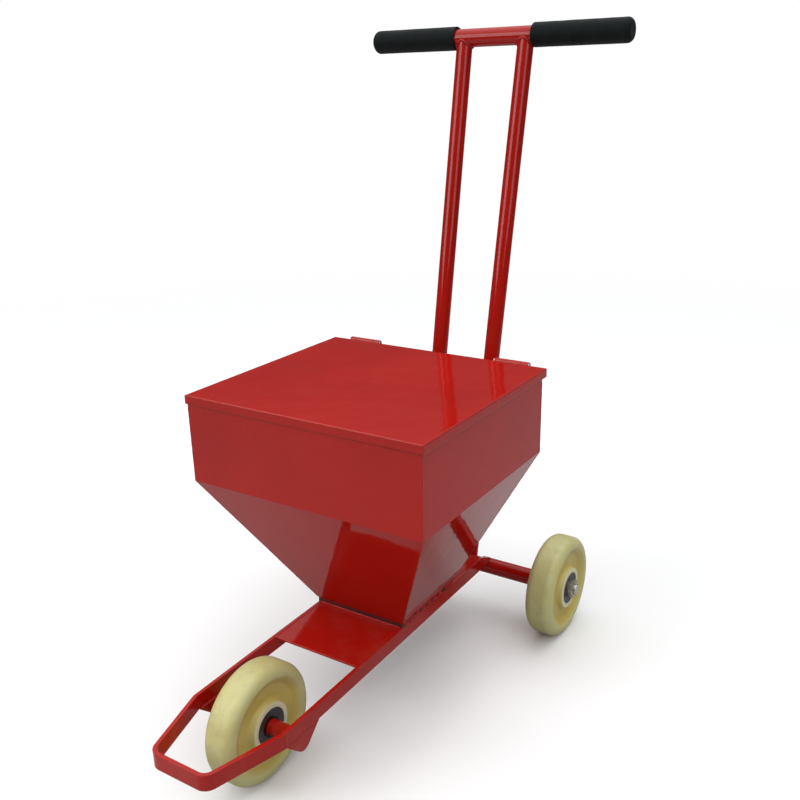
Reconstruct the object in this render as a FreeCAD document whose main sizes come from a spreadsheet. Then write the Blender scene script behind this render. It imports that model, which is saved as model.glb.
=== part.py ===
"""Push seeder: a lidded hopper on a three-wheeled flat-bar frame, with a leaning handle.

Frame: +Z up, the ground is z = 0, the nose points to -Y and the handle to +Y, and x = 0 is the
plane of symmetry. Sizes are millimetres. Every driving dimension is a cell of the sheet "Sizes".
"""
import FreeCAD, Part
import math
import os
import re
import Sketcher

Vector = FreeCAD.Vector
doc = FreeCAD.newDocument("PushSeeder")

# ---------------------------------------------------------------- driving dimensions

SIZES = {
    # wheels and their bearings: a 150 mm wheel on a pair of 20 x 47 x 14 ball bearings
    "wheel_radius": 75,
    "wheel_half": 20.5,
    "hub_half": 21.2,
    "hub_radius": 30,
    "hub_bore": 20,
    "web_half": 13.5,
    "web_inner": 33,
    "web_outer": 50,
    "rim_inner": 60,
    "tread_round": 12,
    "bearing_outer": 23.5,
    "bearing_bore": 10.02,
    "bearing_width": 14,
    "inner_ring_radius": 14.4,
    "outer_ring_bore": 19.6,
    "ball_radius": 3.95,
    "ball_circle": 17,
    "ball_groove": 4.05,
    "seal_depth": 0.7,
    "seal_thick": 0.8,
    # the dust cap in front of each bearing, and the room that it takes in the hub
    "cap_room": 1.5,
    "cap_thick": 1,
    "cap_bore": 13.3,
    # axles
    "axle_radius": 10,
    "thread_radius": 8,
    "thread_length": 13.2,
    "washer_radius": 12.8,
    "washer_thick": 2,
    "nut_flats": 24,
    "nut_height": 8,
    "ring_outer": 12.9,
    "ring_inner": 9.3,
    "ring_thick": 1.2,
    "rear_wheel_x": 178,
    "tube_outer": 12.2,
    "tube_bore": 10.05,
    "tube_start": 53.4,
    "tube_end": 152,
    "rear_axle_y": 232,
    "front_axle_y": -242,
    # frame
    "rail_half": 69.3,
    "bar_thick": 5,
    "bar_height": 20,
    "rail_top": 105.5,
    "rail_back": 227,
    # the rails' rear ends are cut on a slant down to the axle
    "rail_cut": 198,
    "rail_tip": 92.8,
    "kink_y": -274,
    "nose_y": -372.5,
    "nose_half": 41,
    "nose_round": 16,
    "deck_front": -128,
    "deck_thick": 3,
    "rear_deck_back": 200.5,
    # the plates that drop from the rails to the front axle
    "bracket_thick": 5,
    "bracket_round": 13,
    # hopper
    "sheet_thick": 2,
    "box_half": 171,
    "box_front": -139,
    "box_back": 168.5,
    "box_top": 424.2,
    "front_top": 414.2,
    "fold_z": 310,
    "outlet_half": 70.5,
    "outlet_front": -29,
    "outlet_back": 111,
    "outlet_z": 113.5,
    "neck_half": 69,
    "neck_front": -27.5,
    "neck_back": 109.5,
    "neck_wall": 3,
    # throat, metering plate and shutter
    "throat_half": 64,
    "throat_bottom": 95,
    "meter_thick": 2.5,
    "slot_half": 48,
    "slot_front": 31,
    "slot_back": 53,
    "shutter_half": 50,
    "shutter_front": 20,
    "shutter_back": 104,
    "shutter_thick": 2,
    "shutter_travel": 24,
    "slide_gap": 0.3,
    "rod_radius": 3,
    "rod_z": 88.8,
    "rod_back": 252,
    "knob_radius": 11,
    "knob_y": 257,
    # lid and hinges
    "lid_half": 173.5,
    "lid_front": -140.4,
    "lid_back": 177,
    "lid_top": 426,
    "lid_sheet": 1.5,
    "lid_lip": 11.5,
    "hinge_x": 120,
    "hinge_y": 182,
    "hinge_z": 425,
    "hinge_half": 25,
    "hinge_knuckle": 14.7,
    "barrel_radius": 4,
    "pin_radius": 2,
    "pin_play": 0.05,
    "leaf_thick": 2,
    # handle
    "post_radius": 11.5,
    "tube_wall": 2,
    "post_foot_x": 41,
    "post_foot_y": 207.6,
    "post_foot_z": 66,
    "post_top_x": 48.4,
    "handle_y": 356,
    "handle_z": 844,
    "bar_radius": 12.5,
    "bare_half": 60,
    "grip_length": 141,
    "grip_radius": 16.5,
    "grip_cap": 4,
    "brace_thick": 5,
    # the gap left between pieces that are welded or rest on each other
    "gap": 0.3,
}

sheet = doc.addObject("Spreadsheet::Sheet", "Sizes")
for row, (alias, value) in enumerate(SIZES.items(), start=1):
    sheet.set(f"A{row}", alias)
    sheet.set(f"B{row}", str(value))
    sheet.setAlias(f"B{row}", alias)
doc.recompute()


def bound(text):
    """Turn a formula of plain cell names into a FreeCAD expression."""
    return re.sub(r"\b[a-z]+(?:_[a-z]+)*\b",
                  lambda m: "Sizes." + m.group(0) if m.group(0) in SIZES else m.group(0), str(text))


def size(text):
    """The value of a formula of cell names."""
    return float(sheet.evalExpression(bound(text)))


# ---------------------------------------------------------------- sketches and features

def plane_of(body, role):
    return next(item for item in body.Origin.OriginFeatures if item.Role == role)


def new_sketch(body, role, start="0"):
    """A sketch on one of the body's own planes, moved along the plane's axis to start."""
    sketch = body.newObject("Sketcher::SketchObject", "Sketch")
    sketch.AttachmentSupport = [(plane_of(body, role), "")]
    sketch.MapMode = "FlatFace"
    # the XZ plane faces -Y, so its offset runs against the Y axis
    sign = "-1" if role == "XZ_Plane" else "1"
    sketch.setExpression("AttachmentOffset.Base.z", bound(f"{sign} * ({start})"))
    return sketch


def hold(sketch, kind, geometry, point, formula):
    """Tie one coordinate of a sketch point to a formula."""
    value = size(formula)
    if abs(value) < 1e-9:
        axis = -2 if kind == "DistanceX" else -1
        sketch.addConstraint(Sketcher.Constraint("PointOnObject", geometry, point, axis))
        return
    index = sketch.addConstraint(Sketcher.Constraint(kind, -1, 1, geometry, point, value))
    sketch.setExpression(f"Constraints[{index}]", bound(formula))


def polygon(sketch, corners):
    """A closed outline through corners, each a pair of formulas."""
    first = sketch.GeometryCount
    spots = [Vector(size(x), size(y), 0) for x, y in corners]
    count = len(corners)
    for i in range(count):
        sketch.addGeometry(Part.LineSegment(spots[i], spots[(i + 1) % count]), False)
    for i in range(count):
        sketch.addConstraint(
            Sketcher.Constraint("Coincident", first + i, 2, first + (i + 1) % count, 1))
    for i, (x, y) in enumerate(corners):
        hold(sketch, "DistanceX", first + i, 1, x)
        hold(sketch, "DistanceY", first + i, 1, y)


def circle(sketch, x, y, radius):
    index = sketch.addGeometry(
        Part.Circle(Vector(size(x), size(y), 0), Vector(0, 0, 1), size(radius)), False)
    hold(sketch, "DistanceX", index, 3, x)
    hold(sketch, "DistanceY", index, 3, y)
    rule = sketch.addConstraint(Sketcher.Constraint("Radius", index, size(radius)))
    sketch.setExpression(f"Constraints[{rule}]", bound(radius))


def rectangle(x_low, y_low, x_high, y_high):
    return [(x_low, y_low), (x_high, y_low), (x_high, y_high), (x_low, y_high)]


def new_body(label):
    body = doc.addObject("PartDesign::Body", label)
    body.Label = label
    return body


def draw(sketch, outlines):
    """An outline is a list of corners, or (x, y, radius) for a circle."""
    for outline in outlines:
        if isinstance(outline, tuple):
            circle(sketch, *outline)
        else:
            polygon(sketch, outline)


def pad(body, role, outlines, low, high):
    """Add material between low and high along the plane's own axis."""
    start = high if role == "XZ_Plane" else low
    sketch = new_sketch(body, role, start)
    draw(sketch, outlines)
    feature = body.newObject("PartDesign::Pad", "Pad")
    feature.Profile = sketch
    feature.setExpression("Length", bound(f"({high}) - ({low})"))
    feature.Refine = True
    doc.recompute()
    return feature


def pocket(body, role, outlines, low, high):
    """Remove material between low and high along the plane's own axis."""
    before = body.Shape.Volume
    start = low if role == "XZ_Plane" else high
    sketch = new_sketch(body, role, start)
    draw(sketch, outlines)
    feature = body.newObject("PartDesign::Pocket", "Pocket")
    feature.Profile = sketch
    feature.setExpression("Length", bound(f"({high}) - ({low})"))
    feature.Refine = True
    doc.recompute()
    if body.Shape.Volume > before - 1e-6:
        raise RuntimeError(f"{body.Label}: a pocket cut nothing")
    return feature


def round_edges(body, radius, wanted):
    """Fillet the edges of the body for which wanted(edge) is true."""
    base = body.Tip
    names = [f"Edge{i + 1}" for i, edge in enumerate(base.Shape.Edges) if wanted(edge)]
    if not names:
        raise RuntimeError(f"{body.Label}: no edge to round")
    feature = body.newObject("PartDesign::Fillet", "Fillet")
    feature.Base = (base, names)
    feature.setExpression("Radius", bound(radius))
    doc.recompute()
    return feature


def revolve(body, corners):
    """Turn an outline of (x, radius) corners once about the X axis."""
    sketch = new_sketch(body, "XZ_Plane")
    polygon(sketch, corners)
    feature = body.newObject("PartDesign::Revolution", "Revolution")
    feature.Profile = sketch
    feature.ReferenceAxis = (sketch, ["H_Axis"])
    feature.Angle = 360
    doc.recompute()
    return feature


def place(item, x="0", y="0", z="0"):
    for axis, formula in (("x", x), ("y", y), ("z", z)):
        item.setExpression(f"Placement.Base.{axis}", bound(formula))


nodes = []


def keep(item, label=None):
    """Count an object as a sub-part, named by its label."""
    if label:
        item.Label = label
    nodes.append(item)
    return item


def group(label, items):
    """Identical loose pieces that share one sub-part, each its own solid."""
    joined = doc.addObject("Part::Compound", label)
    joined.Links = items
    return keep(joined, label)


def mirrored(item, label):
    """The same piece on the other side of the plane of symmetry."""
    other = doc.addObject("Part::Mirroring", label)
    other.Source = item
    other.Normal = Vector(1, 0, 0)
    other.Label = label
    return other


def copy_at(item, label, x="0", y="0", z="0"):
    """A linked copy of a piece that was made at the origin."""
    other = doc.addObject("Part::Compound", label)
    other.Links = [item]
    other.Label = label
    place(other, x, y, z)
    return other


def at_radius(edge, radius):
    return hasattr(edge.Curve, "Radius") and abs(edge.Curve.Radius - size(radius)) < 1e-4


# ---------------------------------------------------------------- frame

rail_low = "rail_top - bar_height"
rail_in = "rail_half - bar_thick"


def build_frame():
    right = new_body("rail_right")
    pad(right, "YZ_Plane",
        [[("kink_y", rail_low), ("rail_back", rail_low), ("rail_back", "rail_tip"),
          ("rail_cut", "rail_top"), ("kink_y", "rail_top")]], rail_in, "rail_half")
    pocket(right, "YZ_Plane", [("rear_axle_y", "wheel_radius", "tube_outer + gap")], "40", "80")
    round_edges(right, "0.6", lambda edge: edge.Length > 100)
    keep(right)
    keep(mirrored(right, "rail_left"))

    # the nose bar: outer and inner outlines of a bar bent at both front corners
    rise = "(kink_y - nose_y)"
    lean = f"((rail_half - nose_half) / {rise})"
    across = f"(bar_thick * sqrt(1 + {lean} * {lean}))"
    inner_front = "nose_y + bar_thick"
    inner_x = f"(nose_half + {lean} * bar_thick - {across})"
    back = "kink_y - gap"
    back_x = f"(rail_half - {lean} * gap)"
    nose = new_body("nose_bar")
    outline = [(back_x, back), ("nose_half", "nose_y"), ("-nose_half", "nose_y"),
               (f"-{back_x}", back), (f"{across} - {back_x}", back),
               (f"-{inner_x}", inner_front), (inner_x, inner_front),
               (f"{back_x} - {across}", back)]
    pad(nose, "XY_Plane", [outline], rail_low, "rail_top")

    def corner(y):
        def test(edge):
            middle = edge.CenterOfMass
            return abs(middle.y - size(y)) < 0.01 and abs(middle.z - size("rail_top - bar_height / 2")) < 0.01
        return test

    round_edges(nose, "nose_round", corner("nose_y"))
    round_edges(nose, "nose_round - bar_thick", corner(inner_front))
    keep(nose)

    deck = new_body("deck_plate")
    pad(deck, "XY_Plane",
        [rectangle(f"gap - ({rail_in})", "deck_front", f"{rail_in} - gap", "neck_front - gap")],
        "rail_top - deck_thick", "rail_top")
    round_edges(deck, "0.6", lambda edge: edge.Length > 100)
    keep(deck)
    rear_deck = new_body("rear_deck_plate")
    pad(rear_deck, "XY_Plane",
        [rectangle(f"gap - ({rail_in})", "neck_back + gap", f"{rail_in} - gap", "rear_deck_back")],
        "rail_top - deck_thick", "rail_top")
    round_edges(rear_deck, "0.6", lambda edge: edge.Length > 100)
    keep(rear_deck)

    # front axle brackets: flat under the rail, rounded about the axle, with two straight flanks
    bracket = new_body("axle_bracket_right")
    reach = size("front_axle_y - kink_y - 2")
    drop = size(f"({rail_low}) - wheel_radius")
    radius = size("bracket_round")
    swing = math.atan2(drop, reach) + math.asin(radius / math.hypot(drop, reach))
    touch_y = f"bracket_round * {math.sin(swing):.6f}"
    touch_z = f"wheel_radius - bracket_round * {math.cos(swing):.6f}"
    front_y = "kink_y + 2"
    back_y = "2 * front_axle_y - kink_y - 2"
    under = f"{rail_low} - gap"
    plate = ("rail_half - bracket_thick", "rail_half")
    pad(bracket, "YZ_Plane",
        [[(front_y, under), (f"front_axle_y - {touch_y}", touch_z),
          ("front_axle_y", "wheel_radius - 1"), (f"front_axle_y + {touch_y}", touch_z),
          (back_y, under)]], *plate)
    pad(bracket, "YZ_Plane", [("front_axle_y", "wheel_radius", "bracket_round")], *plate)
    pocket(bracket, "YZ_Plane",
           [rectangle("front_axle_y - 40", under, "front_axle_y + 40", "rail_top")], "40", "80")
    keep(bracket)
    keep(mirrored(bracket, "axle_bracket_left"))


# ---------------------------------------------------------------- hopper

def slope(wall, outlet):
    """The horizontal thickness of a sloping panel between wall and outlet, as a formula."""
    lean = f"((({wall}) - ({outlet})) / (fold_z - outlet_z))"
    return lean, f"(sheet_thick * sqrt(1 + {lean} * {lean}))"


def folded_profile(wall, outlet, top="box_top"):
    """The section of a folded panel whose outside faces the positive direction."""
    lean, across = slope(wall, outlet)
    fold_in = f"(outlet_z + (({wall}) - sheet_thick - ({outlet}) + {across}) / {lean})"
    return [(wall, top), (wall, "fold_z"), (outlet, "outlet_z"),
            (f"({outlet}) - {across}", "outlet_z"),
            (f"({wall}) - sheet_thick", fold_in), (f"({wall}) - sheet_thick", top)]


def flipped(corners):
    return [(f"0 - ({x})", y) for x, y in corners]


def frame_round(inner):
    """A wide outline with a hole of the given outline in it, to trim everything outside."""
    return [rectangle("-400", "50", "400", "500"), inner]


def build_hopper():
    # front and back panels run the full width and are trimmed to the hopper's outer outline;
    # the front panel stops lower, where the lid's front lip comes down flush on it
    outer = [("-box_half", "box_top + 5"), ("-box_half", "fold_z"), ("-outlet_half", "outlet_z"),
             ("-outlet_half", "outlet_z - 5"), ("outlet_half", "outlet_z - 5"),
             ("outlet_half", "outlet_z"), ("box_half", "fold_z"), ("box_half", "box_top + 5")]
    back = new_body("hopper_back_panel")
    pad(back, "YZ_Plane", [folded_profile("box_back", "outlet_back")], "-box_half", "box_half")
    pocket(back, "XZ_Plane", frame_round(outer), "-300", "300")
    keep(back)
    front = new_body("hopper_front_panel")
    pad(front, "YZ_Plane",
        [flipped(folded_profile("-box_front", "-outlet_front", "front_top"))],
        "-box_half", "box_half")
    pocket(front, "XZ_Plane", frame_round(outer), "-300", "300")
    keep(front)

    # the side panels stand between them
    play = "0.05"
    lean_f, across_f = slope("-box_front", "-outlet_front")
    lean_b, across_b = slope("box_back", "outlet_back")
    wall_f = f"(box_front + sheet_thick + {play})"
    wall_b = f"(box_back - sheet_thick - {play})"
    low_f = f"(outlet_front + {across_f} + {play})"
    low_b = f"(outlet_back - {across_b} - {play})"
    fold_f = f"(outlet_z + ({low_f} - {wall_f}) / {lean_f})"
    fold_b = f"(outlet_z + ({wall_b} - {low_b}) / {lean_b})"
    inner = [(wall_f, "box_top + 5"), (wall_f, fold_f), (low_f, "outlet_z"),
             (low_f, "outlet_z - 5"), (low_b, "outlet_z - 5"), (low_b, "outlet_z"),
             (wall_b, fold_b), (wall_b, "box_top + 5")]
    side = new_body("hopper_right_panel")
    pad(side, "XZ_Plane", [folded_profile("box_half", "outlet_half")], "box_front", "box_back")
    pocket(side, "YZ_Plane", frame_round(inner), "-300", "300")
    keep(side)
    keep(mirrored(side, "hopper_left_panel"))

    neck = new_body("outlet_neck")
    pad(neck, "XY_Plane",
        [rectangle("-neck_half", "neck_front", "neck_half", "neck_back"),
         rectangle("neck_wall - neck_half", "neck_front + neck_wall",
                   "neck_half - neck_wall", "neck_back - neck_wall")],
        "rail_top + gap", "outlet_z - gap")
    keep(neck)


# ---------------------------------------------------------------- throat, metering plate, shutter

def build_outlet():
    throat = new_body("throat_frame")
    pad(throat, "XY_Plane",
        [rectangle("-throat_half", "neck_front", "throat_half", "neck_back"),
         rectangle("neck_wall - throat_half", "neck_front + neck_wall",
                   "throat_half - neck_wall", "neck_back - neck_wall")],
        "throat_bottom", "rail_top")
    keep(throat)

    meter_top = "throat_bottom - gap"
    meter_low = f"{meter_top} - meter_thick"
    meter = new_body("metering_plate")
    pad(meter, "XY_Plane",
        [rectangle("-throat_half", "neck_front", "throat_half", "neck_back"),
         rectangle("-slot_half", "slot_front", "slot_half", "slot_back")], meter_low, meter_top)
    keep(meter)

    # the shutter is a plain plate with a lip folded down at the back, where the rod is welded
    shutter_top = f"{meter_low} - slide_gap"
    shutter_low = f"{shutter_top} - shutter_thick"
    shutter = new_body("shutter_plate")
    pad(shutter, "XY_Plane",
        [rectangle("-shutter_half", "shutter_front", "shutter_half", "shutter_back")],
        shutter_low, shutter_top)
    pad(shutter, "XZ_Plane",
        [rectangle("-20", "rod_z - rod_radius - 0.3", "20", shutter_top)],
        "shutter_back - shutter_thick", "shutter_back")
    keep(shutter)

    # each guide is an angle: a web beside the shutter and a lip under its edge
    web_in = "shutter_half + slide_gap"
    lip_top = f"{shutter_low} - slide_gap"
    guide = new_body("guide")
    pad(guide, "XZ_Plane",
        [[("shutter_half - 6", f"{lip_top} - 2"), ("throat_half - 4", f"{lip_top} - 2"),
          ("throat_half - 4", f"{meter_low} - 0.05"), (web_in, f"{meter_low} - 0.05"),
          (web_in, lip_top), ("shutter_half - 6", lip_top)]], "neck_front", "neck_back")
    group("shutter_guides", [guide, mirrored(guide, "guide_other")])

    rod = new_body("pull_rod")
    pad(rod, "XZ_Plane", [("0", "rod_z", "rod_radius")], "shutter_back + 0.02", "rod_back")
    for y in ("pin_front", "pin_back"):
        pocket(rod, "YZ_Plane", [(PIN_PLACES[y], "rod_z", "1.52")], "-20", "20")
    keep(rod)

    pins = []
    for name, y in PIN_PLACES.items():
        pin = new_body(name)
        pad(pin, "YZ_Plane", [(y, "rod_z", "1.5")], "-7", "7")
        round_edges(pin, "0.4", lambda edge: at_radius(edge, "1.5"))
        pins.append(pin)
    group("rod_stop_pins", pins)

    knob = doc.addObject("Part::Sphere", "knob_ball")
    knob.setExpression("Radius", bound("knob_radius"))
    place(knob, "0", "knob_y", "rod_z")
    hole = doc.addObject("Part::Cylinder", "knob_hole")
    hole.setExpression("Radius", bound("rod_radius + 0.02"))
    hole.setExpression("Height", bound("rod_back + 0.3 - knob_y + knob_radius + 2"))
    hole.Placement = FreeCAD.Placement(Vector(0, 0, 0), FreeCAD.Rotation(Vector(1, 0, 0), -90))
    place(hole, "0", "knob_y - knob_radius - 2", "rod_z")
    nose = doc.addObject("Part::Box", "knob_flat")
    nose.Length = 40
    nose.Width = 20
    nose.Height = 40
    place(nose, "-20", "knob_y - knob_radius + 1.2 - 20", "rod_z - 20")
    flat = doc.addObject("Part::Cut", "knob_flattened")
    flat.Base = knob
    flat.Tool = nose
    bored = doc.addObject("Part::Cut", "pull_knob")
    bored.Base = flat
    bored.Tool = hole
    keep(bored, "pull_knob")

    # the brace ties the two post feet and carries the rod
    brace = new_body("post_brace")
    pad(brace, "XZ_Plane", [rectangle("-29", "rod_z - 16", "29", "rod_z + 12")],
        BRACE_FRONT, f"{BRACE_FRONT} + brace_thick")
    pocket(brace, "XZ_Plane", [("0", "rod_z", "rod_radius + 0.08")], "150", "300")
    round_edges(brace, "3", lambda edge: abs(edge.Length - size("brace_thick")) < 1e-3
                and not at_radius(edge, "rod_radius + 0.08"))
    keep(brace)


BRACE_FRONT = "post_foot_y + 0.5"
PIN_PLACES = {
    "pin_front": f"{BRACE_FRONT} - shutter_travel - 1.7",
    "pin_back": f"{BRACE_FRONT} + brace_thick + 1.7",
}


# ---------------------------------------------------------------- lid and hinges

def build_lid():
    lid = new_body("lid_panel")
    lip_low = "lid_top - lid_lip"
    pad(lid, "XY_Plane", [rectangle("-lid_half", "lid_front", "lid_half", "lid_back")],
        lip_low, "lid_top")
    pocket(lid, "XY_Plane",
           [rectangle("lid_sheet - lid_half", "lid_front + lid_sheet",
                      "lid_half - lid_sheet", "lid_back + 10")],
           f"{lip_low} - 1", "lid_top - lid_sheet")

    def top_edge(edge):
        middle = edge.CenterOfMass
        return middle.z > size("lid_top") - 0.01 and middle.y < size("lid_back") - 1

    round_edges(lid, "1.4", top_edge)
    keep(lid)

    knuckle = "hinge_knuckle"
    leaf_top = "box_top"
    fixed = new_body("fixed_leaf")
    wall = "box_back + gap"
    pad(fixed, "YZ_Plane",
        [[(wall, "384"), (f"{wall} + leaf_thick", "384"), (f"{wall} + leaf_thick", "415.6"),
          ("hinge_y + 1.6", "hinge_z - barrel_radius + 0.5"), ("hinge_y - 1.2", "hinge_z - 3"),
          (wall, "417")]], "-hinge_half", "hinge_half")
    pocket(fixed, "XZ_Plane",
           [rectangle(f"-{knuckle} - 0.3", "416.2", f"{knuckle} + 0.3", "440")],
           f"{wall} + leaf_thick + 0.6", "200")
    for low, high in ((f"0 - hinge_half", f"0 - {knuckle} - 0.3"),
                      (f"{knuckle} + 0.3", "hinge_half")):
        pad(fixed, "YZ_Plane", [("hinge_y", "hinge_z", "barrel_radius")], low, high)
    pocket(fixed, "YZ_Plane", [("hinge_y", "hinge_z", "pin_radius + pin_play")], "-60", "60")
    first = copy_at(fixed, "fixed_leaf_right", "hinge_x")
    group("hinge_fixed_leaves", [first, mirrored(first, "fixed_leaf_left")])

    leaf = new_body("lid_leaf")
    leaf_low = f"{leaf_top} - 1.9"
    pad(leaf, "XY_Plane",
        [[("-hinge_half", "box_back + gap"), ("hinge_half", "box_back + gap"),
          ("hinge_half", "lid_back + 0.3"), (knuckle, "lid_back + 0.3"), (knuckle, "hinge_y"),
          (f"-{knuckle}", "hinge_y"), (f"-{knuckle}", "lid_back + 0.3"),
          ("-hinge_half", "lid_back + 0.3")]], leaf_low, leaf_top)
    pad(leaf, "YZ_Plane", [("hinge_y", "hinge_z", "barrel_radius")], f"-{knuckle}", knuckle)
    pocket(leaf, "YZ_Plane", [("hinge_y", "hinge_z", "pin_radius + pin_play")], "-60", "60")
    first = copy_at(leaf, "lid_leaf_right", "hinge_x")
    group("hinge_lid_leaves", [first, mirrored(first, "lid_leaf_left")])

    pin = new_body("pin")
    pad(pin, "YZ_Plane", [("hinge_y", "hinge_z", "pin_radius")],
        "-hinge_half - 0.1", "hinge_half + 0.1")
    for low, high in (("-hinge_half - 1.6", "-hinge_half - 0.1"),
                      ("hinge_half + 0.1", "hinge_half + 1.6")):
        pad(pin, "YZ_Plane", [("hinge_y", "hinge_z", "pin_radius + 1")], low, high)
    first = copy_at(pin, "pin_right", "hinge_x")
    group("hinge_pins", [first, mirrored(first, "pin_left")])


# ---------------------------------------------------------------- handle

def build_handle():
    foot = Vector(size("post_foot_x"), size("post_foot_y"), size("post_foot_z"))
    top = Vector(size("post_top_x"), size("handle_y"), size("handle_z"))
    post = new_body("post_tube")
    pad(post, "XY_Plane",
        [("0", "0", "post_radius"), ("0", "0", "post_radius - tube_wall")], "0",
        str(round((top - foot).Length, 4)))
    post.Placement = FreeCAD.Placement(foot, FreeCAD.Rotation(Vector(0, 0, 1), top - foot))
    saddle = doc.addObject("Part::Cylinder", "saddle")
    saddle.setExpression("Radius", bound("bar_radius + 0.1"))
    saddle.Height = 200
    saddle.Placement = FreeCAD.Placement(Vector(0, 0, 0), FreeCAD.Rotation(Vector(0, 1, 0), 90))
    place(saddle, "-20", "handle_y", "handle_z")
    trimmed = doc.addObject("Part::Cut", "post_right")
    trimmed.Base = post
    trimmed.Tool = saddle
    keep(trimmed, "post_right")
    keep(mirrored(trimmed, "post_left"))

    bar_half = "bare_half + grip_length - grip_cap"
    bar = new_body("crossbar")
    pad(bar, "YZ_Plane",
        [("0", "0", "bar_radius"), ("0", "0", "bar_radius - tube_wall")],
        f"0 - ({bar_half})", bar_half)
    place(bar, "0", "handle_y", "handle_z")
    keep(bar)

    grip = new_body("grip_right")
    end = "bare_half + grip_length"
    revolve(grip, [("bare_half", "bar_radius + 0.05"), (f"{bar_half} + 0.05", "bar_radius + 0.05"),
                   (f"{bar_half} + 0.05", "0"), (end, "0"), (end, "grip_radius"),
                   ("bare_half", "grip_radius")])
    round_edges(grip, "5", lambda edge: at_radius(edge, "grip_radius")
                and edge.CenterOfMass.x > size(end) - 1)
    round_edges(grip, "1.5", lambda edge: at_radius(edge, "grip_radius")
                and edge.CenterOfMass.x < size("bare_half") + 1)
    place(grip, "0", "handle_y", "handle_z")
    keep(grip)
    keep(mirrored(grip, "grip_left"))


# ---------------------------------------------------------------- axles and wheels

bearing_face = "hub_half - cap_room"
rear_seat = f"rear_wheel_x + {bearing_face}"


def build_axles():
    front = new_body("front_axle")
    end = f"{rail_in} - gap"
    pad(front, "YZ_Plane", [("0", "0", "axle_radius")], f"0 - ({end})", end)
    round_edges(front, "1", lambda edge: at_radius(edge, "axle_radius"))
    place(front, "0", "front_axle_y", "wheel_radius")
    keep(front)

    rear = new_body("rear_axle")
    shoulder = f"{rear_seat} - 0.3"
    pad(rear, "YZ_Plane", [("0", "0", "axle_radius")], f"0 - ({shoulder})", shoulder)
    end = f"{shoulder} + thread_length"
    pad(rear, "YZ_Plane", [("0", "0", "thread_radius")], f"0 - ({end})", end)
    round_edges(rear, "1.2", lambda edge: at_radius(edge, "thread_radius")
                and abs(edge.CenterOfMass.x) > size(end) - 0.1)
    place(rear, "0", "rear_axle_y", "wheel_radius")
    keep(rear)

    # pipes that slide over the axle, from the posts to the wheels; the rails are coped onto them
    pipe = new_body("axle_tube")
    pad(pipe, "YZ_Plane", [("0", "0", "tube_outer"), ("0", "0", "tube_bore")],
        "tube_start", "tube_end")
    round_edges(pipe, "0.6", lambda edge: at_radius(edge, "tube_outer")
                and abs(edge.CenterOfMass.x) > size("tube_end") - 0.1)
    place(pipe, "0", "rear_axle_y", "wheel_radius")
    group("axle_tubes", [pipe, mirrored(pipe, "axle_tube_left")])

    washer = new_body("washer")
    face = f"{rear_seat} + 0.02"
    pad(washer, "YZ_Plane",
        [("0", "0", "washer_radius"), ("0", "0", "thread_radius + 0.3")],
        face, f"{face} + washer_thick")
    place(washer, "0", "rear_axle_y", "wheel_radius")
    group("axle_washers", [washer, mirrored(washer, "washer_left")])

    # a hexagon nut, its corners cut back by a cone
    nut = new_body("nut")
    seat = f"{face} + washer_thick + 0.02"
    ways = [math.radians(60 * i) for i in range(6)]
    corners = [(f"{math.cos(a) / math.sqrt(3):.6f} * nut_flats",
                f"{math.sin(a) / math.sqrt(3):.6f} * nut_flats") for a in ways]
    pad(nut, "YZ_Plane", [corners, ("0", "0", "thread_radius + 0.02")],
        seat, f"{seat} + nut_height")
    place(nut, "0", "rear_axle_y", "wheel_radius")
    cone = doc.addObject("Part::Cone", "nut_cone")
    cone.setExpression("Radius1", bound("nut_flats / 2 + 10.5"))
    cone.setExpression("Radius2", bound("nut_flats / 2 - 0.3"))
    cone.Height = 6.3
    cone.Placement = FreeCAD.Placement(Vector(0, 0, 0), FreeCAD.Rotation(Vector(0, 1, 0), 90))
    place(cone, f"{seat} + nut_height - 6.3", "rear_axle_y", "wheel_radius")
    core = doc.addObject("Part::Cylinder", "nut_core")
    core.setExpression("Radius", bound("nut_flats"))
    core.setExpression("Height", bound("nut_height - 6.3"))
    core.Placement = FreeCAD.Placement(Vector(0, 0, 0), FreeCAD.Rotation(Vector(0, 1, 0), 90))
    place(core, seat, "rear_axle_y", "wheel_radius")
    envelope = doc.addObject("Part::Fuse", "nut_envelope")
    envelope.Base = cone
    envelope.Tool = core
    shaped = doc.addObject("Part::Common", "nut_shaped")
    shaped.Base = nut
    shaped.Tool = envelope
    group("axle_nuts", [shaped, mirrored(shaped, "nut_left")])

    # open retaining rings that hold the inner ends of the hubs, sprung onto the axle
    ring = new_body("retaining_ring")
    pad(ring, "YZ_Plane", [("0", "0", "ring_outer"), ("0", "0", "axle_radius + 0.02")],
        "0", "ring_thick")
    pocket(ring, "YZ_Plane", [rectangle("-2.5", "-20", "2.5", "-2")], "-5", "5")
    rings = []
    for label, x, y in (("ring_front", f"{bearing_face} + 0.05", "front_axle_y"),
                        ("ring_rear", f"rear_wheel_x - ({bearing_face}) - 0.05 - ring_thick",
                         "rear_axle_y")):
        one = copy_at(ring, label, x, y, "wheel_radius")
        rings += [one, mirrored(one, label + "_left")]
    group("axle_retaining_rings", rings)


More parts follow.
